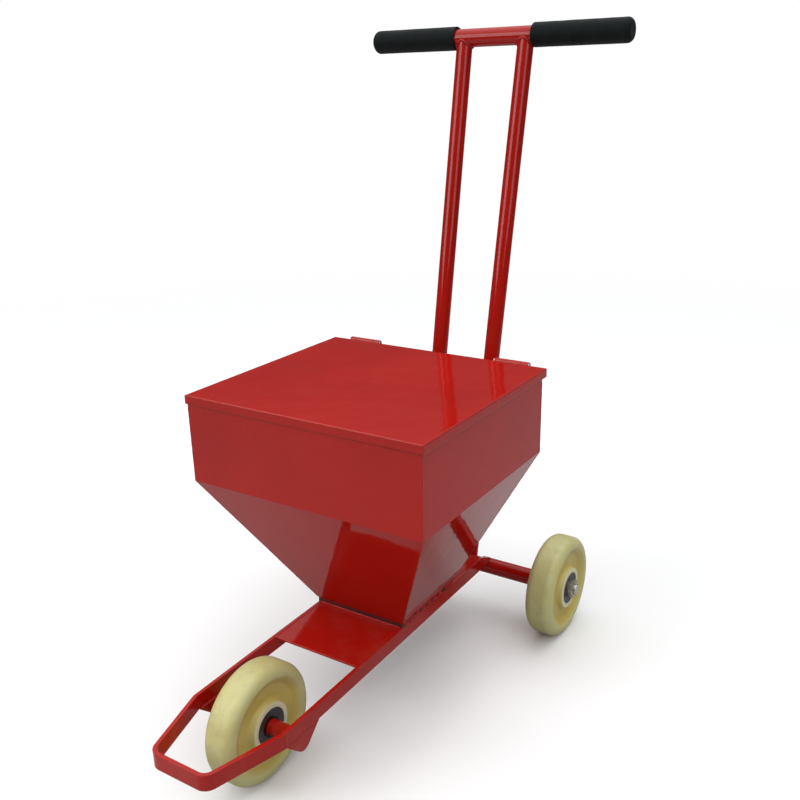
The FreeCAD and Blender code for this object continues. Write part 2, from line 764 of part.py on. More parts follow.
def build_wheel_master():
    """The pieces of one wheel about its own centre; they are copied to the three axle ends."""
    wheel = new_body("wheel")
    pocket_in = "hub_half - cap_room - bearing_width"
    revolve(wheel, [
        (f"0 - ({pocket_in})", "hub_bore"),
        (pocket_in, "hub_bore"), (pocket_in, "bearing_outer + 0.02"),
        ("hub_half", "bearing_outer + 0.02"), ("hub_half", "hub_radius"),
        ("web_half", "web_inner"), ("web_half", "web_outer"),
        ("wheel_half", "rim_inner"), ("wheel_half", "wheel_radius"),
        ("-wheel_half", "wheel_radius"), ("-wheel_half", "rim_inner"),
        ("-web_half", "web_outer"), ("-web_half", "web_inner"),
        ("-hub_half", "hub_radius"), ("-hub_half", "bearing_outer + 0.02"),
        (f"0 - ({pocket_in})", "bearing_outer + 0.02")])
    round_edges(wheel, "tread_round", lambda edge: at_radius(edge, "wheel_radius"))
    round_edges(wheel, "5", lambda edge: at_radius(edge, "rim_inner"))
    round_edges(wheel, "2", lambda edge: at_radius(edge, "hub_radius"))
    round_edges(wheel, "4", lambda edge: at_radius(edge, "web_inner")
                or at_radius(edge, "web_outer"))

    low = "hub_half - cap_room - bearing_width"
    groove_x = f"{bearing_face} - bearing_width / 2"

    def grooved(label, inner, outer):
        ring = new_body(label)
        pad(ring, "YZ_Plane", [("0", "0", outer), ("0", "0", inner)], low, bearing_face)
        torus = doc.addObject("Part::Torus", label + "_groove")
        torus.setExpression("Radius1", bound("ball_circle"))
        torus.setExpression("Radius2", bound("ball_groove"))
        torus.Placement = FreeCAD.Placement(Vector(0, 0, 0), FreeCAD.Rotation(Vector(0, 1, 0), 90))
        place(torus, groove_x)
        cut = doc.addObject("Part::Cut", label + "_cut")
        cut.Base = ring
        cut.Tool = torus
        return cut

    outer_ring = grooved("outer_ring", "outer_ring_bore", "bearing_outer")
    inner_ring = grooved("inner_ring", "bearing_bore", "inner_ring_radius")

    seal = new_body("seal")
    faces = ((f"{bearing_face} - seal_depth - seal_thick", f"{bearing_face} - seal_depth"),
             (f"{low} + seal_depth", f"{low} + seal_depth + seal_thick"))
    pad(seal, "YZ_Plane",
        [("0", "0", "outer_ring_bore - 0.02"), ("0", "0", "inner_ring_radius + 0.12")], *faces[0])
    deep = f"{faces[1][0]} - ({faces[0][0]})"
    seal_in = copy_at(seal, "seal_inner", deep)

    balls = []
    for i in range(8):
        turn = math.radians(45 * i)
        ball = doc.addObject("Part::Sphere", "ball")
        ball.setExpression("Radius", bound("ball_radius"))
        place(ball, groove_x, f"{math.cos(turn):.6f} * ball_circle",
              f"{math.sin(turn):.6f} * ball_circle")
        balls.append(ball)

    cap = new_body("dust_cap")
    pad(cap, "YZ_Plane", [("0", "0", "bearing_outer"), ("0", "0", "cap_bore")],
        f"{bearing_face} + 0.1", f"{bearing_face} + 0.1 + cap_thick")
    round_edges(cap, "0.4", lambda edge: edge.CenterOfMass.x > size(f"{bearing_face} + 0.5"))

    sleeve = new_body("sleeve")
    pad(sleeve, "YZ_Plane", [("0", "0", "12.5"), ("0", "0", "bearing_bore")],
        f"0.05 - ({low})", f"{low} - 0.05")

    def both_ends(label, items):
        one = doc.addObject("Part::Compound", label + "_one_end")
        one.Links = items
        pair = doc.addObject("Part::Compound", label + "_pair")
        pair.Links = [one, mirrored(one, label + "_other_end")]
        return pair

    return {
        "wheel": wheel,
        "outer_rings": both_ends("outer_rings", [outer_ring]),
        "inner_rings": both_ends("inner_rings", [inner_ring]),
        "seals": both_ends("seals", [seal, seal_in]),
        "caps": both_ends("caps", [cap]),
        "balls": both_ends("balls", balls),
        "sleeve": sleeve,
    }


def build_wheels():
    master = build_wheel_master()
    places = {
        "front": ("0", "front_axle_y"),
        "rear_right": ("rear_wheel_x", "rear_axle_y"),
        "rear_left": ("-rear_wheel_x", "rear_axle_y"),
    }
    inner = []
    sleeves = []
    for name, (x, y) in places.items():
        spot = (x, y, "wheel_radius")
        keep(copy_at(master["wheel"], f"{name}_wheel", *spot))
        keep(copy_at(master["outer_rings"], f"{name}_bearing_outer_rings", *spot))
        keep(copy_at(master["seals"], f"{name}_bearing_seals", *spot))
        keep(copy_at(master["balls"], f"{name}_bearing_balls", *spot))
        keep(copy_at(master["caps"], f"{name}_hub_caps", *spot))
        inner.append(copy_at(master["inner_rings"], f"{name}_inner", *spot))
        sleeves.append(copy_at(master["sleeve"], f"{name}_sleeve", *spot))
    group("bearing_inner_rings", inner)
    group("hub_sleeves", sleeves)


# ---------------------------------------------------------------- build, check and write

EXPECTED_SOLIDS = {
    "shutter_guides": 2, "rod_stop_pins": 2, "hinge_fixed_leaves": 2, "hinge_lid_leaves": 2,
    "hinge_pins": 2, "axle_tubes": 2, "axle_washers": 2, "axle_nuts": 2, "axle_retaining_rings": 4,
    "bearing_inner_rings": 6, "hub_sleeves": 3,
}
for wheel_name in ("front", "rear_right", "rear_left"):
    EXPECTED_SOLIDS[f"{wheel_name}_bearing_outer_rings"] = 2
    EXPECTED_SOLIDS[f"{wheel_name}_bearing_seals"] = 4
    EXPECTED_SOLIDS[f"{wheel_name}_hub_caps"] = 2
    EXPECTED_SOLIDS[f"{wheel_name}_bearing_balls"] = 16

build_frame()
build_hopper()
build_outlet()
build_lid()
build_handle()
build_axles()
build_wheels()
doc.recompute()

for item in doc.Objects:
    if "Invalid" in item.State or "Error" in item.State:
        raise RuntimeError(f"{item.Name} ({item.Label}) failed: {item.State}")
for item in nodes:
    shape = item.Shape
    if shape.isNull() or not shape.isValid():
        raise RuntimeError(f"{item.Label} has no valid shape")
    if len(shape.Solids) != EXPECTED_SOLIDS.get(item.Label, 1):
        raise RuntimeError(f"{item.Label} has {len(shape.Solids)} solids")

os.makedirs("parts", exist_ok=True)
for item in nodes:
    item.Shape.exportStep(f"parts/{item.Label}.step")
    box = item.Shape.BoundBox
    print(f"{item.Label:32s} x {box.XMin:7.1f} {box.XMax:7.1f}  y {box.YMin:7.1f} {box.YMax:7.1f}"
          f"  z {box.ZMin:6.1f} {box.ZMax:6.1f}")
print(len(nodes), "sub-parts")
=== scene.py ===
"""Looks, stage and camera for a three-wheeled push seeder with a lidded hopper."""
import math

import bpy
from mathutils import Matrix, Vector, noise


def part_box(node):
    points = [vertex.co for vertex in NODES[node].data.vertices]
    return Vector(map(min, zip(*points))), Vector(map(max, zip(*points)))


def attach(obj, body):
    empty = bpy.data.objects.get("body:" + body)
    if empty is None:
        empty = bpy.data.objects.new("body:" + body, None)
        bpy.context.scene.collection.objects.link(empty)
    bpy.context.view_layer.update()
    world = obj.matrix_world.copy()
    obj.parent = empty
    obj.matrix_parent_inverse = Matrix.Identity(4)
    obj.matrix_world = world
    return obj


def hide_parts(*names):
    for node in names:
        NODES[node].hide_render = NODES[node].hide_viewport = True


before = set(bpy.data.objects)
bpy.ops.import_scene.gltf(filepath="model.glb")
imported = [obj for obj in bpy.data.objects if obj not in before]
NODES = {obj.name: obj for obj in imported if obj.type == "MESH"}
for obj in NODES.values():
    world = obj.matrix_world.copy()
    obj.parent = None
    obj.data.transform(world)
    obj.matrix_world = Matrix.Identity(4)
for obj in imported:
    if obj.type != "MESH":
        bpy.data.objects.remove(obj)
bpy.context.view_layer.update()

bl_info = {
    "name": "Push Seeder Finish",
    "version": (1, 0, 0),
    "blender": (4, 5, 0),
    "location": "View3D > Sidebar > Seeder",
    "description": "Paint, welds, grips and stage for a push seeder",
    "category": "Object",
}

MM = 0.001

# the leaning line of each handle post, right side, and the two tubes that meet at its top
POST_FOOT = Vector((41.0, 207.6, 66.0)) * MM
POST_TOP = Vector((48.4, 356.0, 844.0)) * MM
POST_RADIUS = 11.5 * MM
BAR_RADIUS = 12.5 * MM

# hopper corners, right side: where the walls fold inwards, and the mouth at the bottom
FOLD_Z = 310.0 * MM
MOUTH_X = 70.5 * MM
MOUTH_FRONT = -29.0 * MM
MOUTH_BACK = 111.0 * MM
WALL_TOP = 411.0 * MM

# tones that are not offered as settings
# near-black painted shade for the outlet neck, standing in for the shadow in the gap under the
# hopper mouth
NECK_SHADE_PAINT = (0.020, 0.006, 0.005)
ROLLED_DIRT = (0.330, 0.260, 0.150)
LIGHT_RUST = (0.150, 0.068, 0.030)
RING_BLACK = (0.030, 0.030, 0.032)
FOAM_RUBBED = (0.0060, 0.0090, 0.0092)
FOAM_PALE = (0.012, 0.016, 0.016)

# height over which field dust clings near the ground
DUST_REACH = 0.14

# stage: floor disc, the point that the lights face, and the camera's place and lens
FLOOR_RADIUS = 9.0
FLOOR_SIDES = 64
LIT_POINT = (0.0, 0.0, 0.35)
CAMERA_PLACE = (0.6401, -0.9107, 0.7834)
CAMERA_LENS = 41.43
CAMERA_SHIFT = (0.0059, 0.0235)
SENSOR_WIDTH = 36.0


# ------------------------------------------------------------------ user sizes and colours

def colour(name, description, default):
    """A colour setting, in linear red, green and blue."""
    return bpy.props.FloatVectorProperty(
        name=name, description=description, subtype="COLOR", size=3, min=0.0, max=1.0,
        default=default)


def length(name, description, default):
    """A length setting, in metres."""
    return bpy.props.FloatProperty(
        name=name, description=description, default=default, min=0.0, precision=5,
        subtype="DISTANCE", unit="LENGTH")


def share(name, description, default):
    """A setting from 0 to 1."""
    return bpy.props.FloatProperty(
        name=name, description=description, default=default, min=0.0, max=1.0, subtype="FACTOR")


def power(name, description, default):
    """A light's power, in watts."""
    return bpy.props.FloatProperty(
        name=name, description=description, default=default, unit="POWER")


def angle(name, description, degrees):
    """An angle setting."""
    return bpy.props.FloatProperty(
        name=name, description=description, default=math.radians(degrees), subtype="ANGLE",
        unit="ROTATION")


class SeederPaint(bpy.types.PropertyGroup):
    red: colour("Enamel", "Colour of the sprayed enamel", (0.415, 0.0080, 0.0036))
    shade: colour("Enamel shade", "Colour where the coat is thick", (0.350, 0.0062, 0.0030))
    primer: colour("Worn edge", "Colour where the coat has worn thin", (0.480, 0.060, 0.042))
    dust: colour("Dust", "Colour of the settled field dust", (0.360, 0.270, 0.190))
    peel: length("Orange peel", "Width of one dimple of the sprayed coat", 0.0032)
    wear: share("Edge wear", "How much of the sharp edges is rubbed", 0.55)
    gloss: share("Roughness", "Roughness of clean enamel", 0.050)


class SeederWheels(bpy.types.PropertyGroup):
    nylon: colour("Nylon", "Colour of the moulded wheels", (0.540, 0.520, 0.235))
    # this colour also carries the painted shade of the recessed wheel faces
    aged_tone_and_recess_shade: colour("Aged nylon and recess shade", "Colour of random patches and of the painted shade in the recesses", (0.540, 0.400, 0.062))
    hub: colour("Hub face", "Colour of the turned hub face", (0.760, 0.730, 0.560))
    rings: length("Turning marks", "Spacing of the rings left by the mould", 0.0011)
    rubber: colour("Rubber", "Colour of the bearing seals", (0.016, 0.016, 0.017))
    plastic: colour("Caps and knob", "Colour of the dust caps and the pull knob",
                    (0.011, 0.011, 0.012))


class SeederGrips(bpy.types.PropertyGroup):
    foam: colour("Foam", "Colour of the foam grips", (0.0016, 0.0032, 0.0034))
    cell: length("Cells", "Width of one cell of the foam skin", 0.0009)
    rounding: length("End rounding", "Radius of the closed outer end", 0.0075)
    dents: length("Unevenness", "Height of the soft unevenness along a grip", 0.00022)


class SeederWelds(bpy.types.PropertyGroup):
    bead: length("Bead radius", "Half the width of a structural bead", 0.0021)
    seam: length("Seam radius", "Half the width of a ground corner seam", 0.00075)
    fillet: length("Fillet radius", "Half the width of a small fillet", 0.0011)
    stitch: length("Stitch radius", "Half the width of a stitch beside the neck", 0.0023)
    pitch: length("Ripple", "Distance from one ripple of a bead to the next", 0.0026)
    step: length("Sample", "Distance between the rings of points along a bead", 0.00065)
    seed: bpy.props.IntProperty(name="Seed", description="Seed of the uneven width", default=7)


class SeederHardware(bpy.types.PropertyGroup):
    steel: colour("Plain steel", "Colour of uncoated steel", (0.430, 0.415, 0.395))
    zinc: colour("Zinc", "Colour of the plated nuts", (0.640, 0.630, 0.590))
    chrome: colour("Bearing steel", "Colour of the ground bearing steel", (0.560, 0.560, 0.565))
    thread_pitch: length("Thread pitch", "Distance between thread ridges", 0.0015)


class SeederStage(bpy.types.PropertyGroup):
    floor: colour("Floor", "Colour of the plain floor", (0.900, 0.898, 0.892))
    bounce: share("Floor bounce", "Share of the floor's light that the enamel mirrors", 0.47)
    key: power("Key light", "Power of the large front light", 52.0)
    top: power("Top light", "Power of the overhead light", 17.0)
    side: power("Side light", "Power of the right-hand light", 16.0)
    azimuth: angle("Azimuth", "Camera angle round the seeder", 33.05)
    elevation: angle("Elevation", "Camera angle above level", 19.95)
    roll: angle("Roll", "Turn of the camera about its view", -1.32)


GROUPS = {
    "seeder_paint": SeederPaint, "seeder_wheels": SeederWheels, "seeder_grips": SeederGrips,
    "seeder_welds": SeederWelds, "seeder_hardware": SeederHardware, "seeder_stage": SeederStage,
}


# ------------------------------------------------------------------ node tree helpers

class Net:
    """A node tree under construction."""

    def __init__(self, tree):
        self.tree = tree

    def add(self, kind, values=None, **settings):
        """A new node, its settings made and its inputs fed."""
        node = self.tree.nodes.new(kind)
        for key, value in settings.items():
            setattr(node, key, value)
        for key, value in (values or {}).items():
            self.feed(value, node.inputs[key])
        return node

    def feed(self, value, socket):
        """Links a socket, or sets a plain value."""
        if isinstance(value, bpy.types.NodeSocket):
            self.tree.links.new(value, socket)
        elif hasattr(socket, "default_value"):
            single = value is None or isinstance(value, (str, int, float, bool, bpy.types.ID))
            if not single and len(value) == 3 and len(socket.default_value) == 4:
                value = (*value, 1.0)
            socket.default_value = value

    def math(self, operation, a, b=0.0, clamp=False):
        """One arithmetic step."""
        node = self.add("ShaderNodeMath", {0: a, 1: b}, operation=operation, use_clamp=clamp)
        return node.outputs[0]

    def ramp(self, value, low, high, to_low=0.0, to_high=1.0):
        """value mapped smoothly from low..high to to_low..to_high."""
        node = self.add("ShaderNodeMapRange", {"Value": value, "From Min": low, "From Max": high,
                                               "To Min": to_low, "To Max": to_high},
                        interpolation_type="SMOOTHSTEP")
        return node.outputs["Result"]

    def noise(self, vector, scale, detail=2.0, rough=0.5):
        """Cloudy noise, about 0.5 in the middle."""
        node = self.add("ShaderNodeTexNoise", {"Vector": vector, "Scale": scale, "Detail": detail,
                                               "Roughness": rough})
        return node.outputs[0]

    def mix(self, factor, a, b):
        """Colour a where factor is 0 and colour b where it is 1."""
        node = self.add("ShaderNodeMix", data_type="RGBA")
        self.feed(factor, node.inputs[0])
        self.feed(a, node.inputs[6])
        self.feed(b, node.inputs[7])
        return node.outputs[2]


def shader_group(name, inputs, outputs, build):
    """A shader node group; build(net, given) returns the sockets for its outputs."""
    tree = bpy.data.node_groups.new(name, "ShaderNodeTree")
    for label, kind, default in inputs:
        socket = tree.interface.new_socket(label, in_out="INPUT", socket_type="NodeSocket" + kind)
        if default is not None:
            socket.default_value = default
    for label in outputs:
        tree.interface.new_socket(label, in_out="OUTPUT", socket_type="NodeSocketFloat")
    net = Net(tree)
    given = net.add("NodeGroupInput").outputs
    result = net.add("NodeGroupOutput")
    for label, socket in zip(outputs, build(net, given)):
        net.feed(socket, result.inputs[label])
    return tree


def build_peel(net, given):
    """The shallow dimples and slow waves of a sprayed coat."""
    spot = given["Vector"]
    size = net.math("DIVIDE", 1.0, given["Size"])
    fine = net.noise(spot, size, 1.0)
    slow = net.noise(spot, net.math("MULTIPLY", size, 0.09), 1.0)
    waves = net.math("MULTIPLY", slow, given["Waves"])
    return [net.math("ADD", net.math("MULTIPLY", fine, 0.16), waves)]


def build_wear(net, given):
    """Sharp edges, broken up so that only parts of them are rubbed."""
    rounded = net.add("ShaderNodeBevel", {"Radius": given["Width"]}, samples=4)
    plain = net.add("ShaderNodeNewGeometry")
    same = net.add("ShaderNodeVectorMath", {0: rounded.outputs[0], 1: plain.outputs["Normal"]},
                   operation="DOT_PRODUCT").outputs["Value"]
    edge = net.ramp(same, 0.995, 0.93)
    patch = net.ramp(net.noise(given["Vector"], 34.0, 4.0, 0.62), 0.44, 0.62)
    return [net.math("MULTIPLY", edge, net.math("MULTIPLY", patch, given["Amount"]), True)]


def build_dust(net, given):
    """Dust that lies on upward faces and clings near the ground."""
    up = net.add("ShaderNodeSeparateXYZ",
                 {0: net.add("ShaderNodeNewGeometry").outputs["Normal"]}).outputs["Z"]
    height = net.add("ShaderNodeSeparateXYZ", {0: given["Vector"]}).outputs["Z"]
    lying = net.ramp(up, 0.3, 0.95)
    low = net.ramp(height, given["Reach"], 0.0)
    cloud = net.ramp(net.noise(given["Vector"], 22.0, 6.0, 0.65), 0.40, 0.75)
    speck = net.ramp(net.noise(given["Vector"], 900.0, 1.0), 0.60, 0.78)
    where = net.math("ADD", net.math("MULTIPLY", lying, 0.12), low)
    grain = net.math("ADD", net.math("MULTIPLY", cloud, 0.8), net.math("MULTIPLY", speck, 0.25))
    return [net.math("MULTIPLY", net.math("MULTIPLY", where, grain), given["Amount"], True)]


def build_grain(net, given):
    """Fine tooling grain, drawn out along one direction, with a mottled tone."""
    drawn = net.add("ShaderNodeVectorMath", {0: given["Vector"], 1: given["Stretch"]},
                    operation="MULTIPLY").outputs[0]
    lines = net.noise(drawn, given["Scale"], 3.0, 0.6)
    tone = net.noise(given["Vector"], 95.0, 4.0, 0.6)
    return [lines, tone]


def build_rings(net, given):
    """Distance from a wheel's axis, and the fine rings round it."""
    parts = net.add("ShaderNodeSeparateXYZ", {0: given["Vector"]})
    flat = net.add("ShaderNodeCombineXYZ", {"Y": parts.outputs["Y"], "Z": parts.outputs["Z"]})
    radius = net.add("ShaderNodeVectorMath", {0: flat.outputs[0]}, operation="LENGTH")
    radius = radius.outputs["Value"]
    turns = net.math("MULTIPLY", net.math("DIVIDE", radius, given["Spacing"]), 2 * math.pi)
    return [radius, net.math("SINE", turns)]


def build_cells(net, given):
    """The closed cells of a foam skin."""
    size = net.math("DIVIDE", 1.0, given["Cell"])
    cells = net.add("ShaderNodeTexVoronoi", {"Vector": given["Vector"], "Scale": size})
    pits = net.ramp(cells.outputs["Distance"], 0.05, 0.6)
    tone = net.noise(given["Vector"], 60.0, 5.0, 0.6)
    return [pits, tone]


VECTOR = ("Vector", "Vector", None)

# the inputs, outputs and maker of each shared shader node group
SHADER_GROUPS = {
    "spray_peel": ([VECTOR, ("Size", "Float", 0.003), ("Waves", "Float", 1.0)],
                   ["Height"], build_peel),
    "edge_wear": ([VECTOR, ("Width", "Float", 0.0008), ("Amount", "Float", 0.5)],
                  ["Mask"], build_wear),
    "field_dust": ([VECTOR, ("Amount", "Float", 0.3), ("Reach", "Float", 0.12)],
                   ["Mask"], build_dust),
    "tool_grain": ([VECTOR, ("Stretch", "Vector", (1.0, 1.0, 1.0)), ("Scale", "Float", 800.0)],
                   ["Height", "Tone"], build_grain),
    "wheel_rings": ([VECTOR, ("Spacing", "Float", 0.001)], ["Radius", "Rings"], build_rings),
    "foam_cells": ([VECTOR, ("Cell", "Float", 0.001)], ["Height", "Tone"], build_cells),
}


def shared(name):
    """The shader node group of that name, built the first time it is asked for."""
    return bpy.data.node_groups.get(name) or shader_group(name, *SHADER_GROUPS[name])


def use(net, name, **values):
    """A shared group placed in a material with its own values."""
    node = net.add("ShaderNodeGroup", node_tree=shared(name))
    for key, value in values.items():
        net.feed(value, node.inputs[key])
    return node.outputs


def start_material(name, **constants):
    """A new material: its net, its Principled shader and the object coordinates."""
    material = bpy.data.materials.new(name)
    material.use_nodes = True
    net = Net(material.node_tree)
    shader = next(n for n in net.tree.nodes if n.type == "BSDF_PRINCIPLED")
    for key, value in constants.items():
        net.feed(value, shader.inputs[key.replace("_", " ")])
    spot = net.add("ShaderNodeTexCoord").outputs["Object"]
    return material, net, shader, spot


def bump(net, height, depth, normal=None):
    """The normal of a relief of that height and depth, over another normal if one is given."""
    node = net.add("ShaderNodeBump", {"Height": height, "Distance": depth, "Strength": 1.0})
    if normal is not None:
        net.feed(normal, node.inputs["Normal"])
    return node.outputs["Normal"]


# ------------------------------------------------------------------ materials

def enamel(name, peel=1.0, waves=1.0, wear=1.0, dust=0.2, soft=0.0008, rough=0.0, painted_shade=0.0):
    """Glossy red enamel sprayed on steel; its last setting darkens it in near-black blotches, a
    painted shade that stands in for the shadow in a gap.
    """
    paint = bpy.context.scene.seeder_paint
    material, net, shader, spot = start_material(
        name, IOR=1.45, Specular_IOR_Level=0.40)
    cloud = net.ramp(net.noise(spot, 5.0, 2.0, 0.5), 0.30, 0.75)
    base = net.mix(cloud, paint.red, paint.shade)
    worn = use(net, "edge_wear", Vector=spot, Width=0.0009, Amount=paint.wear * wear)["Mask"]
    base = net.mix(worn, base, paint.primer)
    # painted shade: near-black blotches that stand in for the shadow in a gap
    if painted_shade:
        shade_blotches = net.ramp(net.noise(spot, 60.0, 5.0, 0.6), 0.25, 0.55, painted_shade * 0.8, painted_shade)
        base = net.mix(shade_blotches, base, NECK_SHADE_PAINT)
    dusty = use(net, "field_dust", Vector=spot, Amount=dust, Reach=DUST_REACH)["Mask"]
    net.feed(net.mix(dusty, base, paint.dust), shader.inputs["Base Color"])
    smear = net.ramp(net.noise(spot, 14.0, 5.0, 0.65), 0.45, 0.80, paint.gloss + rough,
                     paint.gloss + rough + 0.05)
    dulled = net.math("ADD", smear, net.math("MULTIPLY", dusty, 0.45))
    net.feed(net.math("ADD", dulled, net.math("MULTIPLY", worn, 0.2)), shader.inputs["Roughness"])
    round_edge = net.add("ShaderNodeBevel", {"Radius": soft}, samples=4).outputs[0]
    height = use(net, "spray_peel", Vector=spot, Size=paint.peel, Waves=waves)["Height"]
    net.feed(bump(net, height, 0.00010 * peel, round_edge), shader.inputs["Normal"])
    return material


def bare_ends(material, reach):
    """Lets an enamelled bar show bright steel where it passes reach on either side."""
    hardware = bpy.context.scene.seeder_hardware
    net = Net(material.node_tree)
    shader = next(n for n in net.tree.nodes if n.type == "BSDF_PRINCIPLED")
    spot = net.add("ShaderNodeTexCoord").outputs["Object"]
    across = net.add("ShaderNodeSeparateXYZ", {0: spot}).outputs["X"]
    end = net.ramp(net.math("ABSOLUTE", across), reach - 0.3 * MM, reach + 0.3 * MM)
    sprayed = shader.inputs["Base Color"].links[0].from_socket
    dull = shader.inputs["Roughness"].links[0].from_socket
    net.feed(net.mix(end, sprayed, hardware.zinc), shader.inputs["Base Color"])
    net.feed(net.math("ADD", dull, net.math("MULTIPLY", end, 0.15)), shader.inputs["Roughness"])
    net.feed(end, shader.inputs["Metallic"])
    return material


def nylon(name, centre):
    """Cream cast nylon with random yellower patches and a darker, yellower painted shade in its
    recesses, with mould rings round the axis at centre.
    """
    wheels = bpy.context.scene.seeder_wheels
    material, net, shader, spot = start_material(
        name, IOR=1.52, Subsurface_Weight=0.18, Subsurface_Radius=(1.0, 0.8, 0.35),
        Subsurface_Scale=0.006)
    centred = net.add("ShaderNodeMapping", {"Vector": spot, "Location": [-c for c in centre]})
    centred = centred.outputs[0]
    rings = use(net, "wheel_rings", Vector=centred, Spacing=wheels.rings)
    radius = rings["Radius"]
    blotch = net.ramp(net.noise(spot, 30.0, 5.0, 0.6), 0.35, 0.75)
    # painted shade: the recessed web between the hub and the rim is tinted darker amber where
    # shade falls; the blotches add random tone
    recess_shade_mask = net.math("MULTIPLY", net.ramp(radius, 0.028, 0.034), net.ramp(radius, 0.062, 0.052))
    aged_tone_and_recess_shade = net.math("ADD", net.math("MULTIPLY", recess_shade_mask, 0.70), net.math("MULTIPLY", blotch, 0.25))
    base = net.mix(aged_tone_and_recess_shade, wheels.nylon, wheels.aged_tone_and_recess_shade)
    face = net.ramp(radius, 0.0305, 0.0290)
    base = net.mix(net.math("MULTIPLY", face, 0.65), base, wheels.hub)
    rolled = net.ramp(radius, 0.069, 0.0745)
    scuff = net.ramp(net.noise(spot, 85.0, 6.0, 0.7), 0.42, 0.72)
    soiled = net.math("MULTIPLY", net.math("MULTIPLY", rolled, scuff), 0.30)
    base = net.mix(soiled, base, ROLLED_DIRT)
    net.feed(base, shader.inputs["Base Color"])
    net.feed(net.math("ADD", net.ramp(blotch, 0.0, 1.0, 0.36, 0.47),
                      net.math("MULTIPLY", soiled, 0.5)), shader.inputs["Roughness"])
    pits = net.noise(spot, 1500.0, 2.0)
    nicks = net.ramp(net.noise(spot, 210.0, 3.0, 0.6), 0.66, 0.74)
    relief = net.math("ADD", net.math("MULTIPLY", rings["Rings"], 0.12),
                      net.math("MULTIPLY", pits, 0.35))
    relief = net.math("SUBTRACT", relief, net.math("MULTIPLY", nicks, rolled))
    round_edge = net.add("ShaderNodeBevel", {"Radius": 0.0012}, samples=4).outputs[0]
    net.feed(bump(net, relief, 0.00010, round_edge), shader.inputs["Normal"])
    return material


def foam(name):
    """Black closed-cell foam with a fine open skin."""
    grips = bpy.context.scene.seeder_grips
    material, net, shader, spot = start_material(
        name, IOR=1.40, Sheen_Weight=0.06, Sheen_Roughness=0.40, Specular_IOR_Level=0.16)
    cells = use(net, "foam_cells", Vector=spot, Cell=grips.cell)
    base = net.mix(net.ramp(cells["Tone"], 0.35, 0.7), grips.foam, FOAM_RUBBED)
    pale = net.math("MULTIPLY", net.ramp(cells["Height"], 0.75, 1.0), 0.35)
    net.feed(net.mix(pale, base, FOAM_PALE), shader.inputs["Base Color"])
    net.feed(net.ramp(cells["Tone"], 0.3, 0.7, 0.50, 0.68), shader.inputs["Roughness"])
    height = net.math("ADD", cells["Height"], net.math("MULTIPLY", cells["Tone"], 1.5))
    net.feed(bump(net, height, 0.00016), shader.inputs["Normal"])
    return material


def moulded(name, tint, rough, scale, depth, dust):
    """Black rubber or moulded plastic with a fine texture."""
    paint = bpy.context.scene.seeder_paint
    material, net, shader, spot = start_material(name, IOR=1.49)
    grain = use(net, "tool_grain", Vector=spot, Stretch=(1.0, 1.0, 1.0), Scale=scale)
    tone = net.ramp(grain["Tone"], 0.35, 0.7)
    lighter = tuple(min(1.0, c * 1.9 + 0.004) for c in tint)
    base = net.mix(tone, tuple(tint), lighter)
    dusty = use(net, "field_dust", Vector=spot, Amount=dust, Reach=DUST_REACH)["Mask"]
    net.feed(net.mix(dusty, base, paint.dust), shader.inputs["Base Color"])
    net.feed(net.ramp(grain["Tone"], 0.3, 0.75, rough, rough + 0.15), shader.inputs["Roughness"])
    net.feed(bump(net, grain["Height"], depth), shader.inputs["Normal"])
    return material


def metal(name, tint, rough, stretch, depth, stain):
    """Bare or plated steel with tooling lines and a little staining."""
    material, net, shader, spot = start_material(name, Metallic=1.0)
    grain = use(net, "tool_grain", Vector=spot, Stretch=stretch, Scale=900.0)
    tone = net.ramp(grain["Tone"], 0.3, 0.72)
    base = net.mix(tone, tuple(tint), tuple(c * 0.72 for c in tint))
    spots = net.ramp(net.noise(spot, 130.0, 6.0, 0.7), 0.56, 0.74)
    rust = net.math("MULTIPLY", spots, stain)
    net.feed(net.mix(rust, base, LIGHT_RUST), shader.inputs["Base Color"])
    net.feed(net.math("ADD", net.ramp(grain["Height"], 0.3, 0.7, rough, rough + 0.14),
                      net.math("MULTIPLY", rust, 0.4)), shader.inputs["Roughness"])
    net.feed(bump(net, grain["Height"], depth), shader.inputs["Normal"])
    return material


def paint_nodes(material, *names):
    """Gives CAD nodes that material in every slot."""
    for name in names:
        slots = NODES[name].data.materials
        for index in range(len(slots)):
            slots[index] = material


def finished(piece, body):
    """Smooths a finished piece and rides it on its body."""
    for face in piece.data.polygons:
        face.use_smooth = True
    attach(piece, body)
    return piece


